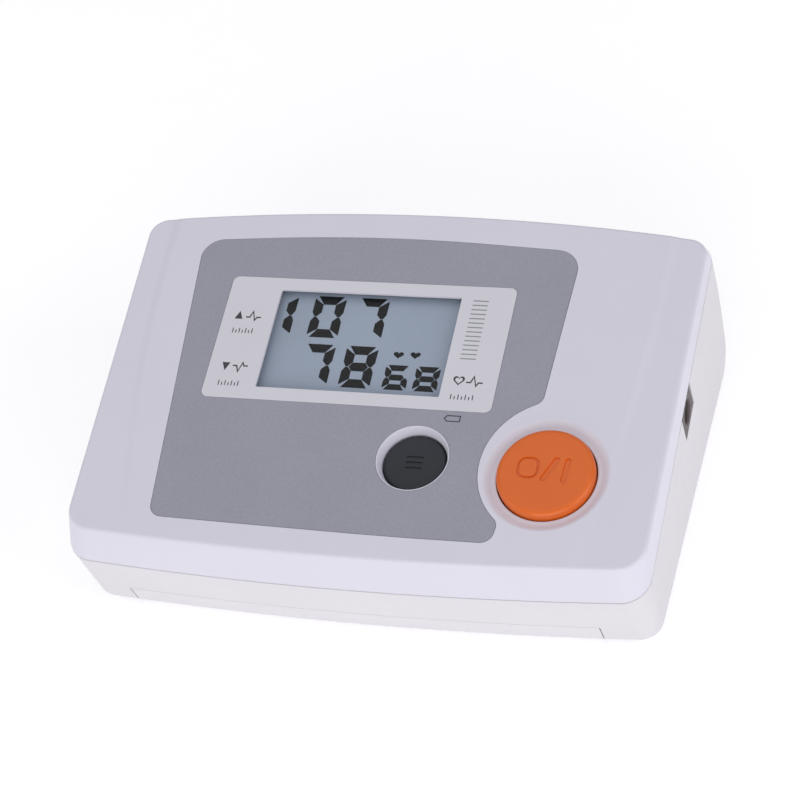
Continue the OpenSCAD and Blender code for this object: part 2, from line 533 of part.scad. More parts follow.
// ---------- release valve ----------
module valve_frame() color([0.7, 0.71, 0.72]) in_case() translate([valve_x, valve_y, valve_z]) difference() {
  translate([0, -7, -7]) cube([20, 14, 14]);
  translate([1.2, -10, -5.8]) cube([17.6, 20, 11.6]);
  along_x(-1, 0, 0) cylinder(r = 2.7, h = 30);
}
module valve_coil() color([0.62, 0.3, 0.12]) in_case() along_x(valve_x + 1.25, valve_y, valve_z) difference() {
  union() {
    translate([0, 0, 1]) cylinder(r = 5.2, h = 15.5);
    cylinder(r = 5.7, h = 1.2);
    translate([0, 0, 16.3]) cylinder(r = 5.7, h = 1.2);
  }
  translate([0, 0, -1]) cylinder(r = 2.75, h = 20);
}
module valve_core() color([0.66, 0.66, 0.68]) in_case() along_x(valve_x + 15.4, valve_y, valve_z)
  cylinder(r = 2.65, h = 5.6);
module valve_plunger() color([0.75, 0.75, 0.77]) in_case() along_x(valve_x + 3.2, valve_y, valve_z) difference() {
  cylinder(r = 2.45, h = 10.8);
  translate([0, 0, 7]) cylinder(r = 1.5, h = 6);
}
module valve_seal() color([0.15, 0.15, 0.15]) in_case() along_x(valve_x + 2.5, valve_y, valve_z) cylinder(r = 1.9, h = 0.7);
module valve_spring() color([0.8, 0.8, 0.8]) in_case() along_x(valve_x + 10.35, valve_y, valve_z)
  wire(coil(1.0, 4.9, 5, 10), 0.14, 6);
module valve_nozzle() color([0.9, 0.9, 0.9]) in_case() along_x(valve_x - 6, valve_y, valve_z) difference() {
  union() { cylinder(r = 1.9, h = 6); translate([0, 0, 4.8]) cylinder(r = 4, h = 1.2); translate([0, 0, 5.5]) cylinder(r = 2.6, h = 2.95); }
  translate([0, 0, -1]) cylinder(r = 0.9, h = 12);
}

// ---------- air line ----------
module hose_connector() color([0.85, 0.85, 0.85]) in_case() translate([hub_x, hub_y, pump_z]) difference() {
  union() {
    sphere(r = 2.9);
    translate([0, -5, 0]) rotate([-90, 0, 0]) cylinder(r = 1.9, h = 10);
    along_x(0, 0, 0) cylinder(r = 1.9, h = 5);
    cylinder(r = 1.9, h = 5);
  }
  translate([0, -7, 0]) rotate([-90, 0, 0]) cylinder(r = 0.9, h = 14);
  along_x(0, 0, 0) cylinder(r = 0.9, h = 7);
  cylinder(r = 0.9, h = 7);
}
module air_tubes() color([0.82, 0.84, 0.84]) in_case() {
  z = pump_z; ro = 2.6; ri = 2.02;
  // air port to connector, connector to pump, connector to valve, connector to sensor
  hose(smooth([[-70.6, port_y, z], [-68, port_y, z], [-65.4, port_y, z], [-60.6, 13.5, z], [-57.9, 16.6, z],
    [hub_x, 20, z], [hub_x, 21.6, z], [hub_x, 22.9, z]], 3), ro, ri);
  hose(smooth([[hub_x, 29.1, z], [hub_x, 30.6, z], [hub_x, 32.2, z], [-56, 35.4, z], [-53.4, 38, z],
    [-50, pump_y, z], [-47.5, pump_y, z], [-44.2, pump_y, z]], 3), ro, ri);
  hose(smooth([[-53.9, hub_y, z], [-52.3, hub_y, z], [-50.4, 25.9, z], [-47.2, 23.6, 16.4], [-44.8, 19.8, 14.4],
    [-42, 16.4, 12.6], [-38.5, valve_y, valve_z], [-36, valve_y, valve_z], [-33.5, valve_y, valve_z], [-31.4, valve_y, valve_z]], 3), ro, ri);
  hose(smooth([[hub_x, hub_y, 20.6], [hub_x, hub_y, 22], [hub_x, hub_y, 23.4], [-56.2, 25.8, 26.4], [-53.6, 25.1, 28.6],
    [-50.6, 24.62, 29.26], [-48, 24.62, 29.26], [-44.2, 24.62, 29.26]], 3), ro, ri);
}
module air_port() color([0.3, 0.31, 0.33]) in_case() along_x(-81.3, port_y, port_z) difference() {
  union() {
    cylinder(r = 5.4, h = 10.3);
    translate([0, 0, 2.5]) cylinder(r = 7, h = 1.6);
    translate([0, 0, 10.3]) cylinder(r = 1.9, h = 4);
  }
  translate([0, 0, -1]) cylinder(r = 2.2, h = 10.5);
  cylinder(r = 0.9, h = 20);
}

// ---------- wiring ----------
module pair(p, q) { wire(smooth(p, 4), 0.55, 8); wire(smooth(q, 4), 0.55, 8); }
module battery_wires() color([0.75, 0.1, 0.1]) in_case() pair(
  [[-58.2, -22, 12], [-59.4, -21, 16], [-58.5, -18, 20], [-54, -14, 22], [-46, -11, 24], [-38, -10, 25.2]],
  [[-58.2, -26, 12], [-60.2, -24.5, 17], [-59.5, -20, 22], [-55, -16, 24.2], [-46, -13.4, 25], [-38, -12.4, 25]]);
module pump_wires() color([0.2, 0.2, 0.75]) in_case() pair(
  [[14.2, 34, 17.5], [18, 33, 17.5], [22, 30, 20], [24, 26, 24], [26, 22, 28]],
  [[14.2, 44, 17.5], [19, 43, 17.5], [25, 38, 20], [28, 31, 24], [29.5, 25, 28]]);
module valve_wires() color([0.15, 0.15, 0.15]) in_case() pair(
  [[-16, 21.4, 15], [-13.5, 23.4, 15.6], [-8.5, 22.4, 18.5], [-4, 17, 24], [-2, 13, 27]],
  [[-18, 21.4, 12], [-14.5, 23.6, 12.6], [-8.5, 23.2, 15.5], [-2.5, 18, 22], [1.6, 12, 27]]);
module jack_wires() color([0.1, 0.1, 0.1]) in_case() pair(
  [[63.4, 4.2, 31.2], [60.6, 5, 30], [57.6, 9, 28.4], [53, 15, 28], [50.4, 19, 30]],
  [[63.4, 0.9, 30], [59.4, 1, 28], [55, 4, 26.2], [49, 7.4, 26.4], [45.6, 8.4, 28]]);

top_cover();
bottom_case();
battery_door();
door_foam();
panel_overlay();
window_frame();
display_lens();
display_gasket();
lcd_glass();
lcd_reflector();
lcd_holder();
zebra_connectors();
main_pcb();
pcb_screws();
start_button();
start_switch();
start_switch_plunger();
memory_button();
memory_switch();
memory_switch_plunger();
control_chips();
pcb_capacitors();
clock_crystal();
buzzer();
pressure_sensor();
dc_jack();
dc_jack_contacts();
aa_cells();
battery_springs();
battery_contacts();
rubber_feet();
case_screws();
pump_motor_can();
pump_motor_cap();
pump_magnets();
pump_rotor();
pump_housing();
pump_yoke();
pump_diaphragm();
pump_head();
pump_cushions();
valve_frame();
valve_coil();
valve_core();
valve_plunger();
valve_seal();
valve_spring();
valve_nozzle();
hose_connector();
air_tubes();
air_port();
battery_wires();
pump_wires();
valve_wires();
jack_wires();
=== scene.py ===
import math
import bpy
import bmesh
import numpy as np
from mathutils import Matrix, Vector
from mathutils.geometry import delaunay_2d_cdt
from mathutils.kdtree import KDTree


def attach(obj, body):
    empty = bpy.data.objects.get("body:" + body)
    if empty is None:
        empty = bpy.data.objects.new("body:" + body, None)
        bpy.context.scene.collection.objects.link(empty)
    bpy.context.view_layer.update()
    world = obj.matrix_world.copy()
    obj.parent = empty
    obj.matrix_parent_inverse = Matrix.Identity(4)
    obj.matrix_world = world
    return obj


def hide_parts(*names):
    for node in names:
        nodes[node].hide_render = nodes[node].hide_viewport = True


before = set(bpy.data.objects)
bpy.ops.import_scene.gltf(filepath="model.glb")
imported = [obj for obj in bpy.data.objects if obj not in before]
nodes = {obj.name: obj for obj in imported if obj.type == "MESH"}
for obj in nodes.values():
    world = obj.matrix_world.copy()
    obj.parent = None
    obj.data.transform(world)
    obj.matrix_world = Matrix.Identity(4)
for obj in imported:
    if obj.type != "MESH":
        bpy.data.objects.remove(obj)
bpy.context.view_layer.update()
scene = bpy.context.scene

# ------------------------------------------------------------------ camera
cam_data = bpy.data.cameras.new("camera")
cam_data.lens = 114.27
cam_data.sensor_width = 36.0
cam_data.clip_start = 0.01
cam_data.clip_end = 50.0
cam = bpy.data.objects.new("camera", cam_data)
scene.collection.objects.link(cam)
cam.matrix_world = Matrix((
    (0.95194, -0.05581, 0.30116, 0.20989),
    (0.24273, 0.73712, -0.63066, -0.43334),
    (-0.18680, 0.67345, 0.71524, 0.52497),
    (0.0, 0.0, 0.0, 1.0)))
scene.camera = cam

# ------------------------------------------------------------------ frames
# All shapes below are in millimetres in the case's own frame; the row frame
# is the same, moved by SHIFT and scaled to metres.
SHIFT = np.array([0.0, -1.25, 1.0])
TILT = math.radians(10.0)
CT, ST = math.cos(TILT), math.sin(TILT)
SEAM = math.radians(12.4)
CS, SS = math.cos(SEAM), math.sin(SEAM)
TOP = 42.2
N_TOP = np.array([0.0, -ST, CT])
W0 = -0.05          # level of the cover's face on the slope
EDGE = 1.3          # radius of the top edges
R_FRONT, R_BACK = 7.8, 5.8   # corner radii of the face, seen from above
BODY_X = 0.65       # how far the body's middle lies to the right of the panel's
WALL = 2.2


def face(u, v, w=0.0):
    return np.array([u, v * CT - w * ST, TOP + v * ST + w * CT])


def face_uvw(p):
    z = p[..., 2] - TOP
    return p[..., 0], p[..., 1] * CT + z * ST, -p[..., 1] * ST + z * CT


def seam(x, s, w):
    return np.array([x, s * CS - w * SS, 36.0 + s * SS + w * CS])


def seam_d(p):
    return (p[..., 2] - 36.0) * CS - p[..., 1] * SS


def face_z(y):
    return TOP + y * math.tan(TILT)


def seam_at(y):
    return 36.0 + y * math.tan(SEAM)


def smooth(x):
    x = np.clip(x, 0.0, 1.0)
    return x * x * (3 - 2 * x)


def circle(cu, cv, r, n):
    a = np.arange(n) * 2 * math.pi / n
    return np.stack([cu + r * np.cos(a), cv + r * np.sin(a)], 1)


def inside(poly, pts):
    """Which 2D points lie inside a closed polygon."""
    poly = np.asarray(poly)
    pts = np.asarray(pts)
    x, y = pts[:, 0][:, None], pts[:, 1][:, None]
    x1, y1 = poly[:, 0][None], poly[:, 1][None]
    x2, y2 = np.roll(poly[:, 0], -1)[None], np.roll(poly[:, 1], -1)[None]
    cross = (y1 > y) != (y2 > y)
    with np.errstate(divide="ignore", invalid="ignore"):
        at = (x2 - x1) * (y - y1) / (y2 - y1) + x1
    return (np.count_nonzero(cross & (x < at), axis=1) % 2) == 1


# ------------------------------------------------------------ mesh building
class Build:
    """Collects vertices and faces of one closed mesh, in case millimetres."""

    def __init__(self):
        self.v, self.f, self.m = [], [], []
        self.mat = 0

    def loop(self, pts):
        k = len(self.v)
        self.v.extend([tuple(map(float, p)) for p in pts])
        return list(range(k, k + len(pts)))

    def face(self, ids):
        out = []
        for i in ids:
            if not out or out[-1] != i:
                out.append(i)
        if len(out) > 1 and out[0] == out[-1]:
            out.pop()
        if len(set(out)) >= 3:
            self.f.append(out)
            self.m.append(self.mat)

    def band(self, a, b):
        n = len(a)
        for i in range(n):
            j = (i + 1) % n
            self.face((a[i], a[j], b[j], b[i]))

    def bands(self, rows):
        for a, b in zip(rows, rows[1:]):
            self.band(a, b)

    def fan(self, a, centre):
        c = self.loop([centre])[0]
        n = len(a)
        for i in range(n):
            self.face((a[i], a[(i + 1) % n], c))

    def cap(self, outer, holes=(), place=None, extra=(), marks=(), low=None):
        """Fills a flat region. outer and holes are (indices, 2D points); marks are 2D contours sunk by even-odd rule to low()."""
        pts, ids, edges = [], [], []
        for idx, p in [outer] + list(holes):
            k = len(pts)
            pts.extend([(float(q[0]), float(q[1])) for q in p])
            ids.extend(idx)
            edges.extend([(k + i, k + (i + 1) % len(p)) for i in range(len(p))])
        down = {}
        for p in marks:
            k = len(pts)
            top_ids = self.loop([place(q[0], q[1]) for q in p])
            low_ids = self.loop([low(q[0], q[1]) for q in p])
            pts.extend([(float(q[0]), float(q[1])) for q in p])
            ids.extend(top_ids)
            edges.extend([(k + i, k + (i + 1) % len(p)) for i in range(len(p))])
            for t, l in zip(top_ids, low_ids):
                down[t] = l
            self.band(top_ids, low_ids)
        for q in extra:
            pts.append((float(q[0]), float(q[1])))
            ids.append(None)
        vv, _, ff, ov, _, _ = delaunay_2d_cdt([Vector(p) for p in pts], edges, [], 0, 1e-6)
        src = [o[0] if o else -1 for o in ov]
        back = {}
        for i, o in enumerate(ov):
            for j in o:
                back[j] = i
        walls = {(min(back[i], back[j]), max(back[i], back[j])) for i, j in edges}
        tris = [tuple(t) for t in ff if len(t) == 3]
        flat = np.array([(q[0], q[1]) for q in vv])
        arr = flat[np.array(tris)]
        area = 0.5 * np.abs((arr[:, 1, 0] - arr[:, 0, 0]) * (arr[:, 2, 1] - arr[:, 0, 1])
                            - (arr[:, 2, 0] - arr[:, 0, 0]) * (arr[:, 1, 1] - arr[:, 0, 1]))
        cen = arr.mean(axis=1)
        # regions of triangles that no outline separates
        by_edge = {}
        for k, t in enumerate(tris):
            for i in range(3):
                e = (min(t[i], t[(i + 1) % 3]), max(t[i], t[(i + 1) % 3]))
                if e not in walls:
                    by_edge.setdefault(e, []).append(k)
        near = [[] for _ in tris]
        for ks in by_edge.values():
            if len(ks) == 2:
                near[ks[0]].append(ks[1])
                near[ks[1]].append(ks[0])
        region = [-1] * len(tris)
        groups = []
        for k in range(len(tris)):
            if region[k] >= 0:
                continue
            region[k] = len(groups)
            stack, group = [k], [k]
            while stack:
                for j in near[stack.pop()]:
                    if region[j] < 0:
                        region[j] = len(groups)
                        stack.append(j)
                        group.append(j)
            groups.append(group)
        made = {}
        for group in groups:
            if area[group].sum() < 1e-3:
                continue
            c = cen[[group[int(np.argmax(area[group]))]]]
            if not inside(outer[1], c)[0] or any(inside(p, c)[0] for _, p in holes):
                continue
            sunk = sum(int(inside(p, c)[0]) for p in marks) % 2
            for k in group:
                out = []
                for i in tris[k]:
                    j = src[i]
                    g = ids[j] if j >= 0 else None
                    if g is None:
                        if i not in made:
                            made[i] = self.loop([place(flat[i][0], flat[i][1])])[0]
                        g = made[i]
                    if sunk:
                        g = down.get(g, g)
                    out.append(g)
                self.face(out)

    def lathe(self, prof, place, n=96):
        """Turns a profile of (r, h) about an axis. place(r cos, r sin, h) gives the point."""
        rows = []
        for r, h in prof:
            if r <= 1e-9:
                rows.append(self.loop([place(0, 0, h)]) * n)
            else:
                rows.append(self.loop([place(p[0], p[1], h) for p in circle(0, 0, r, n)]))
        self.bands(rows)
        return rows

    def prism(self, poly, w0, w1, place):
        """A flat plate with the outline poly between two levels."""
        a = self.loop([place(p[0], p[1], w0) for p in poly])
        b = self.loop([place(p[0], p[1], w1) for p in poly])
        self.band(a, b)
        self.cap((a, poly))
        self.cap((b, poly))

    def ring(self, outer, inner, w0, w1, place):
        """A flat plate with one hole."""
        oa = self.loop([place(p[0], p[1], w0) for p in outer])
        ob = self.loop([place(p[0], p[1], w1) for p in outer])
        ia = self.loop([place(p[0], p[1], w0) for p in inner])
        ib = self.loop([place(p[0], p[1], w1) for p in inner])
        self.band(oa, ob)
        self.band(ia, ib)
        self.cap((oa, outer), [(ia, inner)])
        self.cap((ob, outer), [(ib, inner)])

    def mesh(self, name):
        me = bpy.data.meshes.new(name)
        me.from_pydata(self.v, [], self.f)
        me.polygons.foreach_set("material_index", self.m)
        bm = bmesh.new()
        bm.from_mesh(me)
        bmesh.ops.recalc_face_normals(bm, faces=bm.faces)
        bm.to_mesh(me)
        bm.free()
        me.update()
        return me

    def temp(self, name="temp"):
        o = bpy.data.objects.new(name, self.mesh(name))
        scene.collection.objects.link(o)
        return o


def combine(obj, other, how):
    """Boolean of two closed meshes; other is used up."""
    mod = obj.modifiers.new("bool", "BOOLEAN")
    mod.operation = how
    mod.solver = "MANIFOLD"
    mod.object = other
    dg = bpy.context.evaluated_depsgraph_get()
    dg.update()
    me = bpy.data.meshes.new_from_object(obj.evaluated_get(dg))
    obj.modifiers.clear()
    old = obj.data
    obj.data = me
    bpy.data.meshes.remove(old)
    om = other.data
    bpy.data.objects.remove(other)
    bpy.data.meshes.remove(om)
    return obj


def union(objs):
    first = objs[0]
    for o in objs[1:]:
        combine(first, o, "UNION")
    return first


def block(x0, x1, y0, y1, z0, z1, place=None):
    b = Build()
    place = place or (lambda x, y, z: (x, y, z))
    lo = b.loop([place(x, y, z0) for x, y in ((x0, y0), (x1, y0), (x1, y1), (x0, y1))])
    hi = b.loop([place(x, y, z1) for x, y in ((x0, y0), (x1, y0), (x1, y1), (x0, y1))])
    b.band(lo, hi)
    b.face(lo)
    b.face(hi)
    return b.temp()


def turned(prof, place, n=64):
    b = Build()
    b.lathe(prof, place, n)
    return b.temp()


def rod(r, h0, h1, place, n=64):
    return turned([(0, h0), (r, h0), (r, h1), (0, h1)], place, n)


def at_z(x, y):
    return lambda a, b, h: (x + a, y + b, h)


def at_x(y, z):
    return lambda a, b, h: (h, y + a, z + b)


def at_face(u, v):
    return lambda a, b, h: face(u + a, v + b, h)


AXES = [N_TOP, np.array([0.0, 0.0, 1.0]), np.array([1.0, 0.0, 0.0]), np.array([0.0, 1.0, 0.0])]


def set_normals(me, surface=None):
    """Flat regions keep their own normal, and points of the outer form take the form's."""
    nv, nf, nl = len(me.vertices), len(me.polygons), len(me.loops)
    co = np.empty(nv * 3)
    me.vertices.foreach_get("co", co)
    co = co.reshape(-1, 3) * 1000.0 - SHIFT
    fn = np.empty(nf * 3)
    me.polygons.foreach_get("normal", fn)
    fn = fn.reshape(-1, 3)
    total = np.empty(nf, int)
    me.polygons.foreach_get("loop_total", total)
    lv = np.empty(nl, int)
    me.loops.foreach_get("vertex_index", lv)
    cn = np.empty(nl * 3)
    me.corner_normals.foreach_get("vector", cn)
    cn = cn.reshape(-1, 3)
    lf = np.repeat(fn, total, axis=0)
    for ax in AXES:
        cn = np.where((np.abs(lf @ ax) > 0.99999)[:, None], lf, cn)
    if surface:
        an, ok = form_normals(co, surface)
        use = ok[lv] & ((lf * an[lv]).sum(1) > 0.82)
        cn = np.where(use[:, None], an[lv], cn)
    cn /= np.maximum(np.linalg.norm(cn, axis=1), 1e-9)[:, None]
    me.normals_split_custom_set([tuple(c) for c in cn.tolist()])


def to_object(name, src, mats, body, stands_for=(), sharp=32.0, surface=None):
    """Turns a Build or a temporary object into a finished piece, in metres, in the row frame."""
    if isinstance(src, Build):
        me = src.mesh(name)
    else:
        me = src.data
        bpy.data.objects.remove(src)
    me.name = name
    co = np.empty(len(me.vertices) * 3)
    me.vertices.foreach_get("co", co)
    co = (co.reshape(-1, 3) + SHIFT) * 0.001
    me.vertices.foreach_set("co", co.ravel())
    bm = bmesh.new()
    bm.from_mesh(me)
    bmesh.ops.remove_doubles(bm, verts=bm.verts, dist=2e-7)
    bmesh.ops.dissolve_degenerate(bm, edges=bm.edges, dist=1e-7)
    bmesh.ops.recalc_face_normals(bm, faces=bm.faces)
    for f in bm.faces:
        f.smooth = True
    bm.to_mesh(me)
    bm.free()
    me.set_sharp_from_angle(angle=math.radians(sharp))
    set_normals(me, surface)
    obj = bpy.data.objects.new(name, me)
    scene.collection.objects.link(obj)
    me.materials.clear()
    for m in (mats if isinstance(mats, (list, tuple)) else [mats]):
        me.materials.append(m)
    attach(obj, body)
    if stands_for:
        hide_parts(*stands_for)
    return obj


# ---------------------------------------------------------------- materials
def lin(c):
    c = c / 255.0
    return c / 12.92 if c <= 0.04045 else ((c + 0.055) / 1.055) ** 2.4


def rgb(c):
    return (lin(c[0]), lin(c[1]), lin(c[2]), 1.0)


def material(name, col, rough=0.45, metal=0.0, spec=0.5, coat=0.0, alpha=1.0,
             var=0.03, var_scale=60.0, grain=0.0, grain_scale=3000.0, fine=0.0,
             bump=0.0, bump_scale=2500.0, bump_depth=0.00002, rough_var=0.06,
             rough_scale=250.0, brushed=None, sheen=0.0, tint=None):
    """A moulded, printed or metal surface: broad colour drift, fine grain, roughness that varies, and a fine relief."""
    m = bpy.data.materials.new(name)
    m.use_nodes = True
    nt = m.node_tree
    nt.nodes.clear()
    link = nt.links.new
    out = nt.nodes.new("ShaderNodeOutputMaterial")
    sh = nt.nodes.new("ShaderNodeBsdfPrincipled")
    link(sh.outputs[0], out.inputs[0])
    co = nt.nodes.new("ShaderNodeTexCoord")
    mp = nt.nodes.new("ShaderNodeMapping")
    link(co.outputs["Object"], mp.inputs[0])
    if brushed:
        mp.inputs["Scale"].default_value = brushed
    base = rgb(col)
    other = rgb(tint) if tint else tuple(c * (1 - 2 * var) for c in base[:3]) + (1.0,)
    light = tuple(min(1.0, c * (1 + var)) for c in base[:3]) + (1.0,)
    n1 = nt.nodes.new("ShaderNodeTexNoise")
    n1.inputs["Scale"].default_value = var_scale
    n1.inputs["Detail"].default_value = 3.0
    link(mp.outputs[0], n1.inputs["Vector"])
    ramp = nt.nodes.new("ShaderNodeValToRGB")
    ramp.color_ramp.elements[0].position = 0.3
    ramp.color_ramp.elements[0].color = other
    ramp.color_ramp.elements[1].position = 0.7
    ramp.color_ramp.elements[1].color = light
    link(n1.outputs[0], ramp.inputs[0])
    last = ramp.outputs[0]
    if grain > 0:
        n2 = nt.nodes.new("ShaderNodeTexNoise")
        n2.inputs["Scale"].default_value = grain_scale
        n2.inputs["Detail"].default_value = 2.0
        link(mp.outputs[0], n2.inputs["Vector"])
        r2 = nt.nodes.new("ShaderNodeValToRGB")
        r2.color_ramp.elements[0].position = 0.35
        r2.color_ramp.elements[0].color = (1 - grain, 1 - grain, 1 - grain, 1)
        r2.color_ramp.elements[1].position = 0.65
        r2.color_ramp.elements[1].color = (1, 1, 1, 1)
        link(n2.outputs[0], r2.inputs[0])
        mul = nt.nodes.new("ShaderNodeMix")
        mul.data_type = "RGBA"
        mul.blend_type = "MULTIPLY"
        mul.inputs[0].default_value = 1.0
        link(last, mul.inputs[6])
        link(r2.outputs[0], mul.inputs[7])
        last = mul.outputs[2]
    link(last, sh.inputs["Base Color"])
    n3 = nt.nodes.new("ShaderNodeTexNoise")
    n3.inputs["Scale"].default_value = rough_scale
    n3.inputs["Detail"].default_value = 4.0
    link(mp.outputs[0], n3.inputs["Vector"])
    mr = nt.nodes.new("ShaderNodeMapRange")
    mr.inputs["To Min"].default_value = max(0.02, rough - rough_var)
    mr.inputs["To Max"].default_value = min(1.0, rough + rough_var)
    link(n3.outputs[0], mr.inputs[0])
    link(mr.outputs[0], sh.inputs["Roughness"])
    if bump > 0:
        n4 = nt.nodes.new("ShaderNodeTexNoise")
        n4.inputs["Scale"].default_value = bump_scale
        n4.inputs["Detail"].default_value = 3.0
        link(mp.outputs[0], n4.inputs["Vector"])
        bp = nt.nodes.new("ShaderNodeBump")
        bp.inputs["Strength"].default_value = bump
        bp.inputs["Distance"].default_value = bump_depth
        link(n4.outputs[0], bp.inputs["Height"])
        link(bp.outputs[0], sh.inputs["Normal"])
    sh.inputs["Metallic"].default_value = metal
    sh.inputs["Specular IOR Level"].default_value = spec
    sh.inputs["Coat Weight"].default_value = coat
    sh.inputs["Coat Roughness"].default_value = 0.08
    sh.inputs["Sheen Weight"].default_value = sheen
    sh.inputs["Alpha"].default_value = alpha
    m.diffuse_color = base
    return m


M = {}
M["cover_white"] = material("cover_white", (219, 217, 230), 0.34, bump=0.25, bump_scale=1800, var=0.006, rough_var=0.05)
M["case_white"] = material("case_white", (213, 210, 216), 0.42, bump=0.35, bump_scale=1500, var=0.006)
M["door_white"] = material("door_white", (215, 212, 218), 0.42, bump=0.35, bump_scale=1500, var=0.006)
M["overlay_grey"] = material("overlay_grey", (160, 160, 174), 0.42, grain=0.12, grain_scale=2600, bump=0.3, bump_scale=3000, var=0.012, spec=0.45)
M["window_white"] = material("window_white", (215, 214, 223), 0.3, var=0.006, bump=0.12, bump_scale=2500)
M["button_orange"] = material("button_orange", (226, 104, 26), 0.3, bump=0.3, bump_scale=1600, var=0.015, spec=0.5)
M["button_dark"] = material("button_dark", (38, 41, 49), 0.38, bump=0.3, bump_scale=1600, var=0.04, spec=0.4)
M["lens_clear"] = material("lens_clear", (20, 24, 30), 0.05, alpha=0.05, spec=0.35, var=0.01, rough_var=0.02)
M["lcd_grey"] = material("lcd_grey", (175, 188, 208), 0.4, var=0.02, var_scale=25, grain=0.04, grain_scale=2500, tint=(168, 181, 200))
M["lcd_black"] = material("lcd_black", (9, 9, 13), 0.45, var=0.05, grain=0.15)
M["print_grey"] = material("print_grey", (92, 92, 104), 0.5, var=0.04, grain=0.1)
M["print_light"] = material("print_light", (150, 150, 158), 0.5, var=0.04, grain=0.1)
M["print_dark"] = material("print_dark", (62, 62, 72), 0.5, var=0.04, grain=0.1)
M["jack_grey"] = material("jack_grey", (80, 70, 71), 0.5, bump=0.3, var=0.03)
M["contact_nickel"] = material("contact_nickel", (196, 190, 170), 0.28, metal=1.0, var=0.04, brushed=(1, 6, 6))
M["port_grey"] = material("port_grey", (104, 106, 112), 0.42, bump=0.3, var=0.03)
M["foot_rubber"] = material("foot_rubber", (52, 52, 55), 0.75, bump=0.6, bump_scale=1200, var=0.06, spec=0.3)
M["foam_dark"] = material("foam_dark", (66, 66, 70), 0.95, bump=1.0, bump_scale=1400, bump_depth=0.00012, grain=0.45, grain_scale=1500, spec=0.1, sheen=0.2)
M["cell_jacket"] = material("cell_jacket", (58, 92, 120), 0.28, metal=0.35, var=0.04, coat=0.4)
M["cell_band"] = material("cell_band", (196, 198, 200), 0.3, metal=0.6, var=0.03, coat=0.3)
M["cell_steel"] = material("cell_steel", (200, 198, 194), 0.3, metal=1.0, var=0.04)
STEEL = (188, 188, 190)
for name, col, kw in (
        ("gasket_black", (44, 44, 47), dict(rough=0.85, bump=0.8, grain=0.2)),
        ("reflector_white", (226, 226, 222), dict(rough=0.4, var=0.02)),
        ("holder_white", (222, 222, 224), dict(rough=0.5, bump=0.3)),
        ("zebra_pink", (205, 150, 158), dict(rough=0.6, grain=0.3, grain_scale=5000, brushed=(1, 0.1, 0.1))),
        ("board_green", (34, 104, 58), dict(rough=0.35, var=0.12, var_scale=350, coat=0.4)),
        ("board_screw_steel", STEEL, dict(rough=0.32, metal=1.0, brushed=(4, 1, 1))),
        ("switch_black", (38, 38, 42), dict(rough=0.45, bump=0.3)),
        ("switch_plunger_red", (176, 62, 44), dict(rough=0.4, bump=0.3)),
        ("chip_black", (34, 34, 37), dict(rough=0.6, bump=0.6, grain=0.1)),
        ("capacitor_blue", (36, 52, 96), dict(rough=0.3, coat=0.5)),
        ("crystal_nickel", (200, 200, 196), dict(rough=0.25, metal=1.0, brushed=(6, 1, 1))),
        ("buzzer_black", (30, 30, 32), dict(rough=0.5, bump=0.4)),
        ("sensor_cream", (226, 222, 208), dict(rough=0.45, bump=0.2)),
        ("spring_nickel", (204, 203, 198), dict(rough=0.22, metal=1.0)),
        ("contact_plate_nickel", (206, 202, 186), dict(rough=0.3, metal=1.0, brushed=(1, 5, 1))),
        ("case_screw_steel", (170, 170, 172), dict(rough=0.3, metal=1.0, brushed=(4, 4, 1))),
        ("motor_can_zinc", (184, 185, 188), dict(rough=0.32, metal=1.0, brushed=(0.3, 5, 5))),
        ("motor_cap_black", (34, 34, 36), dict(rough=0.5, bump=0.4)),
        ("magnet_ferrite", (66, 66, 68), dict(rough=0.7, bump=0.6, grain=0.2)),
        ("rotor_steel", (150, 140, 128), dict(rough=0.4, metal=1.0, brushed=(9, 1, 1))),
        ("pump_housing_white", (220, 220, 214), dict(rough=0.5, bump=0.3)),
        ("yoke_natural", (230, 226, 206), dict(rough=0.5, bump=0.3)),
        ("diaphragm_rubber", (78, 72, 70), dict(rough=0.8, bump=0.6)),
        ("pump_head_black", (38, 38, 42), dict(rough=0.45, bump=0.4)),
        ("cushion_rubber", (50, 50, 53), dict(rough=0.9, bump=1.0, grain=0.3)),
        ("valve_frame_zinc", (182, 184, 186), dict(rough=0.35, metal=1.0)),
        ("coil_copper", (176, 92, 46), dict(rough=0.3, metal=0.8, brushed=(14, 0.3, 0.3), grain=0.35, grain_scale=700)),
        ("valve_core_steel", (170, 170, 172), dict(rough=0.3, metal=1.0)),
        ("valve_plunger_steel", (190, 190, 194), dict(rough=0.25, metal=1.0)),
        ("valve_seal_rubber", (40, 40, 42), dict(rough=0.8, bump=0.6)),
        ("valve_spring_steel", (196, 196, 198), dict(rough=0.25, metal=1.0)),
        ("valve_nozzle_white", (228, 228, 228), dict(rough=0.45, bump=0.2)),
        ("connector_white", (222, 222, 222), dict(rough=0.45, bump=0.2)),
        ("tube_silicone", (214, 218, 218), dict(rough=0.35, alpha=0.85, var=0.02)),
        ("wire_red", (186, 30, 30), dict(rough=0.4)),
        ("wire_blue", (40, 52, 168), dict(rough=0.4)),
        ("wire_black", (34, 34, 36), dict(rough=0.4))):
    M[name] = material(name, col, **kw)

# every carried CAD node takes the material of its own slot
wear = {}
for n, o in nodes.items():
    for i, s in enumerate(o.material_slots):
        key = s.material.name.split(".")[0] if s.material else ""
        wear.setdefault(n, []).append(key)

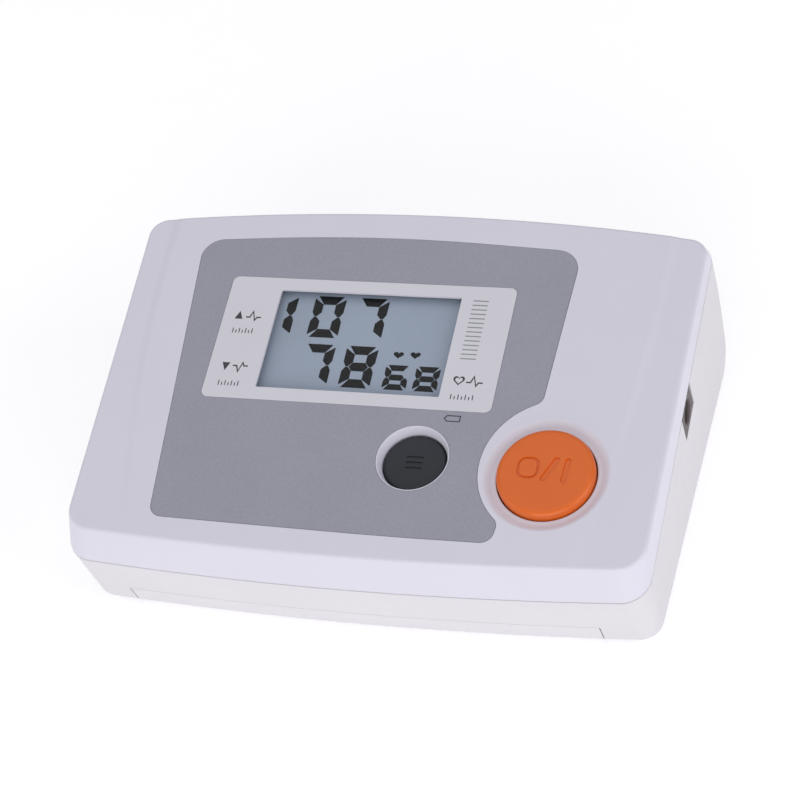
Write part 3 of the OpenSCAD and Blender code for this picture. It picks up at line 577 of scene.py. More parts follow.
SLOTS = dict(
    top_cover="cover_white", bottom_case="case_white", battery_door="door_white", door_foam="foam_dark",
    panel_overlay="overlay_grey", window_frame="window_white", display_lens="lens_clear",
    display_gasket="gasket_black", lcd_glass="lcd_grey", lcd_reflector="reflector_white",
    lcd_holder="holder_white", zebra_connectors="zebra_pink", main_pcb="board_green",
    pcb_screws="board_screw_steel", start_button="button_orange", start_switch="switch_black",
    start_switch_plunger="switch_plunger_red", memory_button="button_dark", memory_switch="switch_black",
    memory_switch_plunger="switch_plunger_red", control_chips="chip_black", pcb_capacitors="capacitor_blue",
    clock_crystal="crystal_nickel", buzzer="buzzer_black", pressure_sensor="sensor_cream",
    dc_jack="jack_grey", dc_jack_contacts="contact_nickel", aa_cells="cell_jacket",
    battery_springs="spring_nickel", battery_contacts="contact_plate_nickel", rubber_feet="foot_rubber",
    case_screws="case_screw_steel", pump_motor_can="motor_can_zinc", pump_motor_cap="motor_cap_black",
    pump_magnets="magnet_ferrite", pump_rotor="rotor_steel", pump_housing="pump_housing_white",
    pump_yoke="yoke_natural", pump_diaphragm="diaphragm_rubber", pump_head="pump_head_black",
    pump_cushions="cushion_rubber", valve_frame="valve_frame_zinc", valve_coil="coil_copper",
    valve_core="valve_core_steel", valve_plunger="valve_plunger_steel", valve_seal="valve_seal_rubber",
    valve_spring="valve_spring_steel", valve_nozzle="valve_nozzle_white", hose_connector="connector_white",
    air_tubes="tube_silicone", air_port="port_grey", battery_wires="wire_red", pump_wires="wire_blue",
    valve_wires="wire_black", jack_wires="wire_black")
for n, o in nodes.items():
    m = M[SLOTS[n]]
    if not o.material_slots:
        o.data.materials.append(m)
    for s in o.material_slots:
        s.material = m


# ------------------------------------------------------------ the case form
def side_x(y):
    return 79.1 + 2.0 * (y + 51.5) / 100.4


def front_y(x):
    return -51.5 - 3.0 * (1 - (x / 79.1) ** 2)


def back_y(x):
    return 48.9 + 5.2 * (1 - (x / 81.1) ** 2)


def perimeter():
    """Columns round the case: 0 front or 1 back, place along it, plan angle; sides are filled in between."""
    xf, xb = side_x(R_FRONT - 51.5) - R_FRONT, side_x(48.9 - R_BACK) - R_BACK
    af = lambda k: math.atan2(-1.0, 6.0 * k * xf / 79.1 ** 2)
    ab = lambda k: math.atan2(1.0, 10.4 * k * xb / 81.1 ** 2)
    side = math.atan2(-(xb + R_BACK - xf - R_FRONT), (back_y(xb) - R_BACK) - (front_y(xf) + R_FRONT))
    nf, nb, ns, nc = 300, 300, 90, 26
    cols = [(0, k, af(k)) for k in np.linspace(-1, 1, nf)]
    cols += [(0, 1.0, a) for a in np.linspace(af(1.0), side, nc)[1:]]
    right = len(cols)
    cols += [(1, 1.0, a) for a in np.linspace(side, ab(1.0), nc)[:-1]]
    cols += [(1, k, ab(k)) for k in np.linspace(1, -1, nb)]
    cols += [(1, -1.0, a) for a in np.linspace(ab(-1.0), math.pi - side, nc)[1:]]
    left = len(cols)
    cols += [(0, -1.0, a) for a in np.linspace(math.pi - side, af(-1.0) + 2 * math.pi, nc)[:-1]]
    return np.array(cols), xf, xb, right, left, ns


COLS, XF, XB, RIGHT, LEFT, NSIDE = perimeter()


def fill_sides(A):
    """Adds the columns of the two flat sides between the corners."""
    q = np.linspace(0, 1, NSIDE)[1:-1].reshape((-1,) + (1,) * (A.ndim - 1))
    r = A[RIGHT - 1][None] * (1 - q) + A[RIGHT][None] * q
    l = A[LEFT - 1][None] * (1 - q) + A[LEFT][None] * q
    return np.concatenate([A[:RIGHT], r, A[RIGHT:LEFT], l, A[LEFT:]])


def unit(v):
    return v / np.maximum(np.linalg.norm(v, axis=-1), 1e-12)[..., None]


def slerp(a, b, t):
    """Directions from a to b, for arrays of directions (n,3) and steps (m,)."""
    dot = np.clip((a * b).sum(-1), -1, 1)
    om = np.arccos(dot)[:, None, None]
    t = t[None, :, None]
    s = np.sin(om)
    s = np.where(s < 1e-9, 1.0, s)
    return (np.sin((1 - t) * om) * a[:, None, :] + np.sin(t * om) * b[:, None, :]) / s


UP = np.array([0.0, 0.0, 1.0])


def profile(off):
    """The wall's profile at each column, from the face to the floor, moved inward by off."""
    t = off + 0.05
    back = COLS[:, 0] > 0.5
    k, A = COLS[:, 1], COLS[:, 2]
    n = len(k)
    pn = np.stack([np.cos(A), np.sin(A), 0 * A], 1)
    r = np.where(back, R_BACK, R_FRONT)
    x = np.where(back, k * XB, k * XF)
    y = np.where(back, back_y(x) - R_BACK, front_y(x) + R_FRONT)
    top = np.stack([x + BODY_X, y, face_z(y)], 1) - t * N_TOP
    # widest line, on the parting plane
    sx, sy = x + BODY_X + 0.75 * k, y + np.where(back, 0.85, -3.0)
    ws = np.stack([sx, sy, 0 * sx], 1) + (r - t)[:, None] * pn
    ws[:, 2] = seam_at(ws[:, 1] + t * pn[:, 1])
    e = max(EDGE - t, 0.05)
    kk = np.zeros(n)
    for _ in range(14):
        wn = unit(pn + kk[:, None] * UP)
        flat = unit(wn - (wn @ N_TOP)[:, None] * N_TOP)
        pt = top - e * N_TOP + (r - t - e)[:, None] * flat + e * wn
        d = pt - ws
        kk = -(d * pn).sum(1) / d[:, 2]
    d1 = slerp(np.repeat(N_TOP[None], n, 0), wn, np.linspace(0, 1, 24))
    p1 = (top - e * N_TOP + (r - t - e)[:, None] * flat)[:, None, :] + e * d1
    q = np.linspace(0, 1, 11)[None, 1:, None]
    p2 = p1[:, -1:, :] * (1 - q) + ws[:, None, :] * q
    # front: straight down to the foot's round; back: curve and large round
    low = 0.0 if off <= 0.9 else 2.4
    rb = 2.6 if off <= 0.9 else 0.6
    xg = k * (79.6 - 6.3)
    cen = np.stack([xg + BODY_X, front_y(xg) + 2.6 + 6.3, 0 * xg + low + rb], 1) + (6.3 - t - rb) * pn
    k2 = np.zeros(n)
    for _ in range(14):
        w2 = unit(pn + k2[:, None] * UP)
        d = ws - (cen + rb * w2)
        k2 = -(d * pn).sum(1) / d[:, 2]
    d3 = slerp(w2, np.repeat(-UP[None], n, 0), np.linspace(0, 1, 16))
    p3 = cen[:, None, :] + rb * d3
    m = 40
    q = np.linspace(0, 1, m + 1)[None, 1:-1, None]
    pw = ws[:, None, :] * (1 - q) + p3[:, :1, :] * q
    xh = k * (81.1 - 0.6 - 4.0)
    yh = back_y(xh) + 5.7
    rz, ry = 7.7, 11.4
    top_y = sy + r                       # the outer wall at the parting line, unshifted
    zs = ws[:, 2]
    zq = np.linspace(1, 0, 26)[None, 1:]
    z_a = rz + (zs - rz)[:, None] * zq
    y_a = yh[:, None] - t - (yh - top_y)[:, None] * zq ** 2
    ph = np.radians(np.linspace(0, 50, m - 25))[None, 1:]
    z_b = np.repeat(rz - (rz - t) * np.sin(ph), n, 0)
    y_b = yh[:, None] - ry + (ry - t) * np.cos(ph)
    ph3 = np.radians(np.linspace(50, 90, 16))[None]
    z_c = np.repeat(rz - (rz - t) * np.sin(ph3), n, 0)
    z_c = z_c + (low - (z_c[:, -1:])) * smooth(np.linspace(0, 1, 16))[None]
    y_c = yh[:, None] - ry + (ry - t) * np.cos(ph3)

    def rear(z, yw, ease=0.0):
        s = np.clip(1 - z / zs[:, None], 0, 1)
        rr = R_BACK * (1 - s) + 4.0 * s - t - ease
        cx = sx[:, None] * (1 - s) + (xh + BODY_X)[:, None] * s
        rr = np.maximum(rr, 0.3)
        return np.stack([cx + rr * pn[:, None, 0], yw - rr - ease + rr * pn[:, None, 1], z], -1)
    pr = np.concatenate([rear(z_a, y_a), rear(z_b, y_b)], 1)
    ease = 0.7 * (1 - np.cos(np.linspace(0, math.pi / 2, 16)))[None] if off <= 0.9 else 0.0
    pr3 = rear(z_c, y_c + ease, ease)
    pw[back] = pr[back]
    p3[back] = pr3[back]
    P = np.concatenate([p1, p2, pw, p3], 1)
    g = np.empty_like(P)
    g[:, 1:-1] = P[:, 2:] - P[:, :-2]
    g[:, 0], g[:, -1] = P[:, 1] - P[:, 0], P[:, -1] - P[:, -2]
    sr = p1.shape[1] + p2.shape[1]
    g[:, sr - 1] = P[:, sr - 1] - P[:, sr - 2]
    g[:, sr] = P[:, sr + 1] - P[:, sr]
    dot = (g * pn[:, None, :]).sum(-1)
    N = unit(-g[..., 2:3] * pn[:, None, :] + dot[..., None] * UP)
    N[:, :24] = d1
    return fill_sides(P), unit(fill_sides(N))


def lengths(P):
    d = np.linalg.norm(np.diff(P, axis=1), axis=2)
    return np.concatenate([np.zeros((len(P), 1)), np.cumsum(d, 1)], 1)


def sample(P, L, S):
    out = np.empty(S.shape + (3,))
    for i in range(len(P)):
        for c in range(3):
            out[i, :, c] = np.interp(S[i], L[i], P[i, :, c])
    return out


def cross_at(P, L, level):
    """Arc length at which each profile goes below a level over the parting plane."""
    d = seam_d(P)
    k = np.argmax(d < level, axis=1)
    i = np.arange(len(P))
    a, b = d[i, k - 1], d[i, k]
    f = (a - level) / (a - b)
    return L[i, k - 1] + f * (L[i, k] - L[i, k - 1])


CREASE_R = np.polyfit([45.6, -11.1, -27.1, -50.5], [72.2, 68.7, 65.9, 62.5], 2)
CREASE_L = np.polyfit([43.4, 7.1, -20.8, -45.7], [-72.2, -70.8, -66.9, -61.8], 2)


def crease_drop(u, v):
    """How far the face is lowered outside the two soft creases."""
    dr = u - np.polyval(CREASE_R, v)
    dl = np.polyval(CREASE_L, v) - u
    h = 0.30 * (0.35 + 0.65 * smooth((v + 40) / 60.0)) * smooth((v + 58) / 14.0)
    return h * (smooth((dr + 1.5) / 3.0) + smooth((dl + 1.5) / 3.0))


def lower(P):
    """Applies the creases to outer points of the cover."""
    u, v, w = face_uvw(P)
    f = smooth((w + 5.4) / 5.2)
    return P - (crease_drop(u, v) * f)[..., None] * N_TOP


OUT_P, OUT_N = profile(0.0)
NP = len(OUT_P)
UNIQ, KEEP = list(range(NP)), list(range(NP))
OUT_L = lengths(OUT_P)
FORM = KDTree(OUT_P.shape[0] * OUT_P.shape[1])
FORM_P, FORM_N = OUT_P.reshape(-1, 3), OUT_N.reshape(-1, 3)
for _i, _p in enumerate(FORM_P):
    FORM.insert(_p, _i)
FORM.balance()


def form_normals(co, surface):
    """The outer form's normal at points that lie on it, and which points do."""
    q = co.copy()
    if surface == "cover":
        u, v, w = face_uvw(co)
        for _ in range(2):
            uu, vv, ww = face_uvw(q)
            q = co + (crease_drop(uu, vv) * smooth((ww + 5.4) / 5.2))[:, None] * N_TOP
    n = np.zeros_like(co)
    ok = np.zeros(len(co), bool)
    for i, p in enumerate(q):
        hits = FORM.find_n(p, 4)
        near = hits[0]
        pn = FORM_N[near[1]]
        if near[2] > 1.6 or abs(float((p - FORM_P[near[1]]) @ pn)) > 0.03 + 0.02 * near[2]:
            continue
        acc = np.zeros(3)
        for _, k, d in hits:
            acc += FORM_N[k] / (d + 0.02)
        n[i] = acc
        ok[i] = True
    n[ok] /= np.linalg.norm(n[ok], axis=1)[:, None]
    if surface == "cover":
        uu, vv, ww = face_uvw(q)
        flat = np.abs(ww - W0) < 0.015
        n[flat] = N_TOP
        ok |= flat
        h = 0.05
        D = lambda a, b, c: crease_drop(a, b) * smooth((c + 5.4) / 5.2)
        gu = (D(uu + h, vv, ww) - D(uu - h, vv, ww)) / (2 * h)
        gv = (D(uu, vv + h, ww) - D(uu, vv - h, ww)) / (2 * h)
        gw = (D(uu, vv, ww + h) - D(uu, vv, ww - h)) / (2 * h)
        grad = (gu[:, None] * np.array([1.0, 0, 0]) + gv[:, None] * np.array([0, CT, ST]) + gw[:, None] * N_TOP)
        n = n + grad * ((n @ N_TOP) / (1 - gw))[:, None]
        n /= np.maximum(np.linalg.norm(n, axis=1), 1e-9)[:, None]
    return n, ok


INN_P, _ = profile(WALL)
INN_L = lengths(INN_P)
GAP = 0.12


def lips(level, up):
    """Rounded lip at the parting plane: crossing, points of the round and the inner edge."""
    lc = cross_at(OUT_P, OUT_L, level)
    li = cross_at(INN_P, INN_L, level)
    pc = sample(OUT_P, OUT_L, lc[:, None])[:, 0]
    pi = sample(INN_P, INN_L, li[:, None])[:, 0]
    back = sample(OUT_P, OUT_L, (lc + (-0.5 if up else 0.5))[:, None])[:, 0]
    d = unit(back - pc)
    e = unit(pi - pc)
    return lc, li, pc, pi, d, e


# ---------------------------------------------------------- panel outlines
START = (50.2, -26.1)
MEMORY = (13.7, -23.8)
VIEW = (-9.1, 11.3)


def hull2d(pts):
    pts = sorted(set(map(tuple, np.round(pts, 5))))
    def half(seq):
        h = []
        for p in seq:
            while len(h) > 1 and (h[-1][0] - h[-2][0]) * (p[1] - h[-2][1]) - (h[-1][1] - h[-2][1]) * (p[0] - h[-2][0]) <= 0:
                h.pop()
            h.append(p)
        return h[:-1]
    return np.array(half(pts) + half(pts[::-1]))


def resample2d(pts, step):
    """Adds points so that no side is longer than step."""
    out = []
    for a, b in zip(pts, np.roll(pts, -1, axis=0)):
        n = max(1, int(math.ceil(np.linalg.norm(b - a) / step)))
        for i in range(n):
            out.append(a + (b - a) * i / n)
    return np.array(out)


def normals2d(pts):
    t = np.roll(pts, -1, axis=0) - np.roll(pts, 1, axis=0)
    n = np.stack([t[:, 1], -t[:, 0]], 1)
    return n / np.linalg.norm(n, axis=1)[:, None]


def overlay_base():
    """The overlay's outline as points and outward normals, so that it can be grown exactly."""
    pts = [circle(-55.8, 37.4, 6.0, 240), circle(40.4, 37.4, 6.8, 240), circle(-51.4, -42.9, 3.7, 240),
           circle(36.4, -44.0, 3.3, 240)]
    us = np.linspace(-50, 37, 60)
    pts.append(np.stack([us, 45.9 - 0.00102 * (us + 5) ** 2], 1))
    pts.append(np.array([[45.3, -4.0], [45.0, 10.0], [18, -47.5], [4, -47.45], [-25, -47.05]]))
    h = resample2d(hull2d(np.concatenate(pts)), 0.7)
    for _ in range(3):                     # softens the small corners of the long sides
        h = 0.25 * np.roll(h, 1, axis=0) + 0.5 * h + 0.25 * np.roll(h, -1, axis=0)
    n = normals2d(h)
    c = np.array((53.1, -24.4))
    rc, rr = 21.3, 3.2
    inset = h - rr * n
    d = np.linalg.norm(inset - c, axis=1) - (rc + rr)
    out = np.where(d > 0)[0]
    # first and last point of the run that stays clear of the button's arc
    start = next(i for i in out if d[i - 1] <= 0)
    run = []
    i = start
    while d[i % len(d)] > 0:
        run.append(i % len(d))
        i += 1
    def crossing(i, j):
        f = d[i] / (d[i] - d[j])
        return inset[i] * (1 - f) + inset[j] * f
    q_in = crossing(run[0], (run[0] - 1) % len(d))
    q_out = crossing(run[-1], (run[-1] + 1) % len(d))
    P = list(h[run])
    N = list(n[run])

    def arc(q, n0, n1, r, sign):
        a0, a1 = math.atan2(n0[1], n0[0]), math.atan2(n1[1], n1[0])
        if sign > 0:
            while a1 < a0:
                a1 += 2 * math.pi
        else:
            while a1 > a0:
                a1 -= 2 * math.pi
        k = max(6, int(abs(a1 - a0) * r / 0.35))
        for a in np.linspace(a0, a1, k)[1:-1]:
            e = np.array([math.cos(a), math.sin(a)])
            P.append(q + r * e)
            N.append(e)
    # lobe after the run, arc round the button, lobe before the run
    arc(q_out, n[run[-1]], (c - q_out) / np.linalg.norm(c - q_out), rr, 1)
    a0 = math.atan2(*(q_out - c)[::-1])
    a1 = math.atan2(*(q_in - c)[::-1])
    while a1 > a0:
        a1 -= 2 * math.pi
    for a in np.linspace(a0, a1, 120):
        e = np.array([math.cos(a), math.sin(a)])
        P.append(c + rc * e)
        N.append(-e)
    arc(q_in, (c - q_in) / np.linalg.norm(c - q_in), n[run[0]], rr, 1)
    return np.array(P), np.array(N)


OV_P, OV_N = overlay_base()


def outline(grow):
    return OV_P + grow * OV_N


def rounded_rect(cu, cv, w, h, r, n=10, step=3.0):
    pts = []
    for sx, sy, a0 in ((1, 1, 0), (-1, 1, 90), (-1, -1, 180), (1, -1, 270)):
        for a in np.linspace(a0, a0 + 90, n):
            pts.append((cu + sx * (w / 2 - r) + r * math.cos(math.radians(a)),
                        cv + sy * (h / 2 - r) + r * math.sin(math.radians(a))))
    return resample2d(np.array(pts), step)


def rect(cu, cv, w, h, step=3.0):
    return resample2d(np.array([(cu + w / 2, cv + h / 2), (cu - w / 2, cv + h / 2),
                                (cu - w / 2, cv - h / 2), (cu + w / 2, cv - h / 2)], float), step)


WIN = (-9.1, 11.2, 82.2, 39.9)


# --------------------------------------------------------------- top cover
def make_cover():
    b = Build()
    lc, li, pc, pi, d, e = lips(GAP, True)
    rows = 24
    edge = OUT_L[:, 23]
    S = np.concatenate([np.linspace(0, 1, 11)[None, 1:] * edge[:, None],
                        edge[:, None] + np.linspace(0, 1, 14)[None, 1:] * (lc - 0.15 - edge)[:, None]], 1)
    R = lower(sample(OUT_P, OUT_L, S))
    top = lower(OUT_P[:, 0])
    top_u = b.loop(top[KEEP])
    first = [top_u[UNIQ[i]] for i in range(NP)]
    idx = [first] + [b.loop(R[:, j]) for j in range(rows - 1)]
    low = lambda P: lower(P)
    idx.append(b.loop(low(pc + 0.044 * d + 0.044 * e)))
    idx.append(b.loop(low(pc + 0.15 * e)))
    idx.append(b.loop(pi))
    inner = np.linspace(1, 0, 9)[None, 1:-1] * li[:, None]
    RI = sample(INN_P, INN_L, inner)
    for j in range(RI.shape[1]):
        idx.append(b.loop(RI[:, j]))
    ceil = INN_P[:, 0]
    ceil_u = b.loop(ceil[KEEP])
    idx.append([ceil_u[UNIQ[i]] for i in range(NP)])
    b.bands(idx)

    top2d = np.stack(face_uvw(OUT_P[KEEP, 0])[:2], 1)
    ceil2d = np.stack(face_uvw(ceil[KEEP])[:2], 1)

    def put(u, v, w=W0):
        return lower(face(u, v, w)[None])[0]

    def ring(pts, w):
        return b.loop([put(p[0], p[1], w) for p in pts])

    # pocket of the overlay
    o0, o1 = outline(0.24), outline(0.13)
    pocket_top = ring(o0, W0)
    r1, r2, r3 = ring(outline(0.16), W0 - 0.04), ring(o1, W0 - 0.12), ring(o1, -0.55)
    b.bands([pocket_top, r1, r2, r3])
    # window pocket, lens pocket and display opening
    win = rounded_rect(WIN[0], WIN[1], WIN[2] + 0.2, WIN[3] + 0.2, 2.1)
    w1, w2 = ring(win, -0.55), ring(win, -0.9)
    b.band(w1, w2)
    lens = rect(VIEW[0], VIEW[1], 58.2, 37.2)
    l1, l2 = ring(lens, -0.9), ring(lens, -1.95)
    b.band(l1, l2)
    thru = rect(VIEW[0], VIEW[1], 54.4, 34.0)
    t1, t2 = ring(thru, -1.95), ring(thru, -2.25)
    b.band(t1, t2)
    # rim, cone and guide of the memory button
    nm = 128
    mem = [(9.93, -0.55), (9.93, -0.17), (9.89, -0.11), (9.80, -0.09), (9.70, -0.13), (9.62, -0.24),
           (9.12, -1.75), (8.90, -2.45), (8.86, -2.75), (8.85, -3.0), (8.85, -4.7), (10.6, -4.7), (10.6, -2.25)]
    mrows = [ring(circle(*MEMORY, r, nm), w) for r, w in mem]
    b.bands(mrows)
    # dish, guide and collar of the start button
    ns = 192
    dish = []
    for x in np.linspace(0, 1, 17):
        r = 17.0 - x * (17.0 - 13.7)
        s = smooth(np.array(x / 0.86))
        dish.append((r, W0 - 1.12 * float(s)))
    dish += [(13.5, -1.19), (13.40, -1.24), (13.35, -1.36), (13.35, -4.7), (14.9, -4.7), (14.9, -2.25)]
    drows = [ring(circle(*START, r, ns), w) for r, w in dish]
    b.bands(drows)
    # posts of the board
    posts = []
    for p in ((-44, 33.5), (-44, -40), (62, 33.5), (62, -40)):
        prow = [ring(circle(*p, r, 24), w) for r, w in ((2.6, -2.25), (2.6, -12.0), (0.95, -12.0), (0.95, -5.0))]
        b.bands(prow)
        b.fan(prow[-1], face(p[0], p[1], -5.0))
        posts.append((prow[0], circle(*p, 2.6, 24)))
    # the sloping face, with points along the creases
    extra = []
    for v in np.arange(-56, 60, 1.0):
        for line, s in ((CREASE_R, 1), (CREASE_L, -1)):
            for t in (-2.2, -1.7, -1.3, -0.9, -0.5, -0.15, 0.15, 0.5, 0.9, 1.3, 1.7, 2.2):
                extra.append((np.polyval(line, v) + t, v))
    for i, v in enumerate(np.arange(-56, 60, 3.1)):
        for u in np.arange(-80, 82, 3.6):
            uu = u + (1.8 if i % 2 else 0)
            if min(abs(uu - np.polyval(CREASE_R, v)), abs(uu - np.polyval(CREASE_L, v))) > 3.6:
                extra.append((uu, v))
    extra = np.array(extra)
    solid = [top2d, o0, circle(*START, 17.0, ns)]
    ok = inside(top2d, extra) & ~inside(o0, extra) & ~inside(solid[2], extra)
    bound = np.concatenate(solid)
    extra = extra[ok]
    near = np.array([np.min(np.hypot(bound[:, 0] - q[0], bound[:, 1] - q[1])) for q in extra])
    extra = extra[near > 0.45]
    b.cap((top_u, top2d), [(pocket_top, o0), (drows[0], solid[2])], place=put, extra=extra)
    b.cap((r3, o1), [(w1, win), (mrows[0], circle(*MEMORY, 9.93, nm))])
    b.cap((w2, win), [(l1, lens)])
    b.cap((l2, lens), [(t1, thru)])
    b.cap((ceil_u, ceil2d), [(t2, thru), (mrows[-1], circle(*MEMORY, 10.6, nm)),
                             (drows[-1], circle(*START, 14.9, ns))] + posts)
    body = b.temp("cover")
    # bosses of the case screws
    for sx in (-1, 1):
        for y in (-28.0, 38.0):
            n = 40
            q = Build()
            ring_xy = circle(sx * 73.0, y, 3.6, n)
            lo = q.loop([(p[0], p[1], seam_at(p[1]) + 0.06) for p in ring_xy])
            hi = q.loop([(p[0], p[1], face_z(p[1]) - 1.5) for p in ring_xy])
            q.band(lo, hi)
            q.cap((lo, ring_xy))
            q.cap((hi, ring_xy))
            combine(body, q.temp(), "UNION")
            combine(body, rod(1.15, 20.0, face_z(y) - 2.0, at_z(sx * 73.0, y), 32), "DIFFERENCE")
    return body


to_object("cover_shell", make_cover(), M["cover_white"], "unit", ("top_cover",), sharp=40, surface="cover")


# ------------------------------------------------------------- bottom case
def make_filled(off, level, rows_top=40):
    """The case as one solid below a level over the parting plane."""
    P, _ = profile(off)
    L = lengths(P)
    lc = cross_at(P, L, level)
    end = L[:, -16]
    b = Build()
    q = np.linspace(0, 1, rows_top + 1)
    S = lc[:, None] + (end - lc)[:, None] * q[None]
    idx = [b.loop(R) for R in np.moveaxis(sample(P, L, S), 1, 0)]
    S3 = end[:, None] + (L[:, -1] - end)[:, None] * np.linspace(0, 1, 11)[None, 1:]
    P3 = sample(P, L, S3)
    idx += [b.loop(R) for R in np.moveaxis(P3, 1, 0)]
    b.bands(idx)
    topp = sample(P, L, lc[:, None])[:, 0]
    b.cap((idx[0], topp[:, :2]))
    b.cap((idx[-1], P3[:, -1, :2]))
    return b.temp("filled")


def make_case_shell():
    b = Build()
    lc, li, pc, pi, d, e = lips(-GAP, False)
    end = OUT_L[:, -16]
    q = np.linspace(0, 1, 45)
    idx = [b.loop(pi), b.loop(pc + 0.15 * e), b.loop(pc + 0.044 * d + 0.044 * e)]
    S = (lc + 0.15)[:, None] + (end - lc - 0.15)[:, None] * q[None]
    idx += [b.loop(R) for R in np.moveaxis(sample(OUT_P, OUT_L, S), 1, 0)]
    S3 = end[:, None] + (OUT_L[:, -1] - end)[:, None] * np.linspace(0, 1, 13)[None, 1:]
    P3 = sample(OUT_P, OUT_L, S3)
    idx += [b.loop(R) for R in np.moveaxis(P3, 1, 0)]
    b.bands(idx)
    b.cap((idx[-1], P3[:, -1, :2]))
    iend = INN_L[:, -1]
    SI = li[:, None] + (iend - li)[:, None] * np.linspace(0, 1, 24)[None]
    PI = sample(INN_P, INN_L, SI)
    idi = [idx[0]] + [b.loop(R) for R in np.moveaxis(PI[:, 1:], 1, 0)]
    b.bands(idi)
    b.cap((idi[-1], PI[:, -1, :2]))
    return b.temp("case")


def in_seam(x, s, w):
    return seam(x, s, w)


def make_case():
    shell = make_case_shell()
    parts = [block(-57, 57, -55, -14.7, 17.8, 19.3)]
    for m in (-1, 1):
        parts.append(block(m * 55.25 - 0.75, m * 55.25 + 0.75, -46.7, -14.7, 2.7, 18.5))
        parts.append(block(m * 65 - 2.2, m * 65 + 2.2, -46.5, -13.1, 2.3, 4.0))
        parts.append(block(m * 66.5 - 0.8, m * 66.5 + 0.8, -46.5, -13.1, 0.6, 4.0))
    parts.append(block(-57, 57, -16.2, -14.7, 2.7, 18.5))
    parts.append(block(-57, 57, -14.7, -13.1, 0.6, 19.3))
    parts.append(block(-57, 57, -48.1, -46.6, 8.65, 18.1))
    for m in (-1, 1):
        for y in (-28.0, 38.0):
            parts.append(rod(4.2, 0.5, 60.0, at_z(m * 73.0, y), 48))
    for x in (-21, -1):
        parts.append(block(x - 2, x + 2, 24, 54, 1, 17.5))
    parts.append(block(-29, -11, 9, 21, 1, 4.95))
    parts.append(block(65.2, 79.4, -4.3, 10.1, -24, -0.4, in_seam))
    parts.append(block(-77, -73, 6, 18, 1, 17.5))
    inside_parts = union(parts)
    combine(inside_parts, make_filled(0.8, -0.3), "INTERSECT")
    combine(shell, inside_parts, "UNION")
    cuts = [block(-65.65, 65.65, -70, -46.9, -1, 8.46),
            block(-62.8, 62.8, -60, -14.7, -1, 2.7),
            block(-65.65, 65.65, -60, -14.7, 0.9, 2.4),
            block(-65.65, 65.65, -48.6, -46.9, 8.15, 8.46),
            block(-30, 30, 2, 24, -1, 0.3)]
    for m in (-1, 1):
        for y in (-28.0, 38.0):
            cuts.append(turned([(0, -1), (3.45, -1), (3.45, 0.0), (3.1, 0.35), (3.1, seam_at(y) - 7.8),
                                (1.45, seam_at(y) - 7.8), (1.45, 70), (0, 70)], at_z(m * 73.0, y), 64))
        for x, y in ((70.5, -41.5), (61, 39.5)):
            cuts.append(rod(4.6, -1, 0.8, at_z(m * x, y), 64))
    cuts.append(rod(13.85, -40, 20, at_x(39, 17.5), 96))
    cuts.append(block(66.5, 96.5, -3.0, 8.8, -10.4, 1.6, in_seam))
    cuts.append(block(60, 70, -1.1, 6.9, -9, 3, in_seam))
    cuts.append(rod(5.6, -90, -68.9, at_x(12, 17.5), 96))
    cuts.append(block(-79, -77, 4.5, 19.5, 10, 40))
    combine(shell, union(cuts), "DIFFERENCE")
    return shell


to_object("case_shell", make_case(), M["case_white"], "unit", ("bottom_case",), sharp=40, surface="case")


def make_door():
    solid = make_filled(0.0, -1.0)
    plate = union([block(-62.5, 62.5, -70, -15, -0.5, 2.1),
                   block(-65.35, 65.35, -70, -15, 1.2, 2.1),
                   block(-65.35, 65.35, -70, -47.3, -0.5, 8.35)])
    # grip grooves and a push mark under the door
    cuts = []
    for i in range(6):
        y = -44.0 + 2.2 * i
        cuts.append(turned([(0, -24 - 0.2 * i), (0.75, -23.6), (0.75, 23.6), (0, 24 + 0.2 * i)], at_x(y, -0.2), 20))
    q = Build()
    tri = resample2d(np.array([(-5.0, -28.0), (5.0, -28.0), (0.0, -22.0)]), 5)
    q.prism(tri, -1.0, 0.4, lambda x, y, z: (x, y, z))
    cuts.append(q.temp())
    combine(plate, union(cuts), "DIFFERENCE")
    combine(solid, plate, "INTERSECT")
    return solid


to_object("door_panel", make_door(), M["door_white"], "battery_door", ("battery_door",), sharp=40, surface="case")


# ------------------------------------------------------------ panel pieces
def make_overlay():
    b = Build()
    put = lambda p, w: face(p[0], p[1], w)
    ring = lambda pts, w: b.loop([put(p, w) for p in pts])
    win = lambda g: rounded_rect(WIN[0], WIN[1], WIN[2] + g, WIN[3] + g, 2.0 + g / 2, 12)
    mem = lambda r: circle(*MEMORY, r, 128)
    o = [ring(outline(0.0), -0.53), ring(outline(0.0), -0.17), ring(outline(-0.02), -0.12), ring(outline(-0.07), -0.10)]
    b.bands(o)
    wr = [ring(win(0.16), -0.53), ring(win(0.16), -0.16), ring(win(0.24), -0.10)]
    b.bands(wr)
    mr = [ring(mem(10.02), -0.53), ring(mem(10.02), -0.17), ring(mem(10.09), -0.10)]
    b.bands(mr)
    b.cap((o[0], outline(0.0)), [(wr[0], win(0.16)), (mr[0], mem(10.02))])
    b.cap((o[-1], outline(-0.07)), [(wr[-1], win(0.24)), (mr[-1], mem(10.09))])
    return b


to_object("overlay_sheet", make_overlay(), M["overlay_grey"], "unit", ("panel_overlay",))


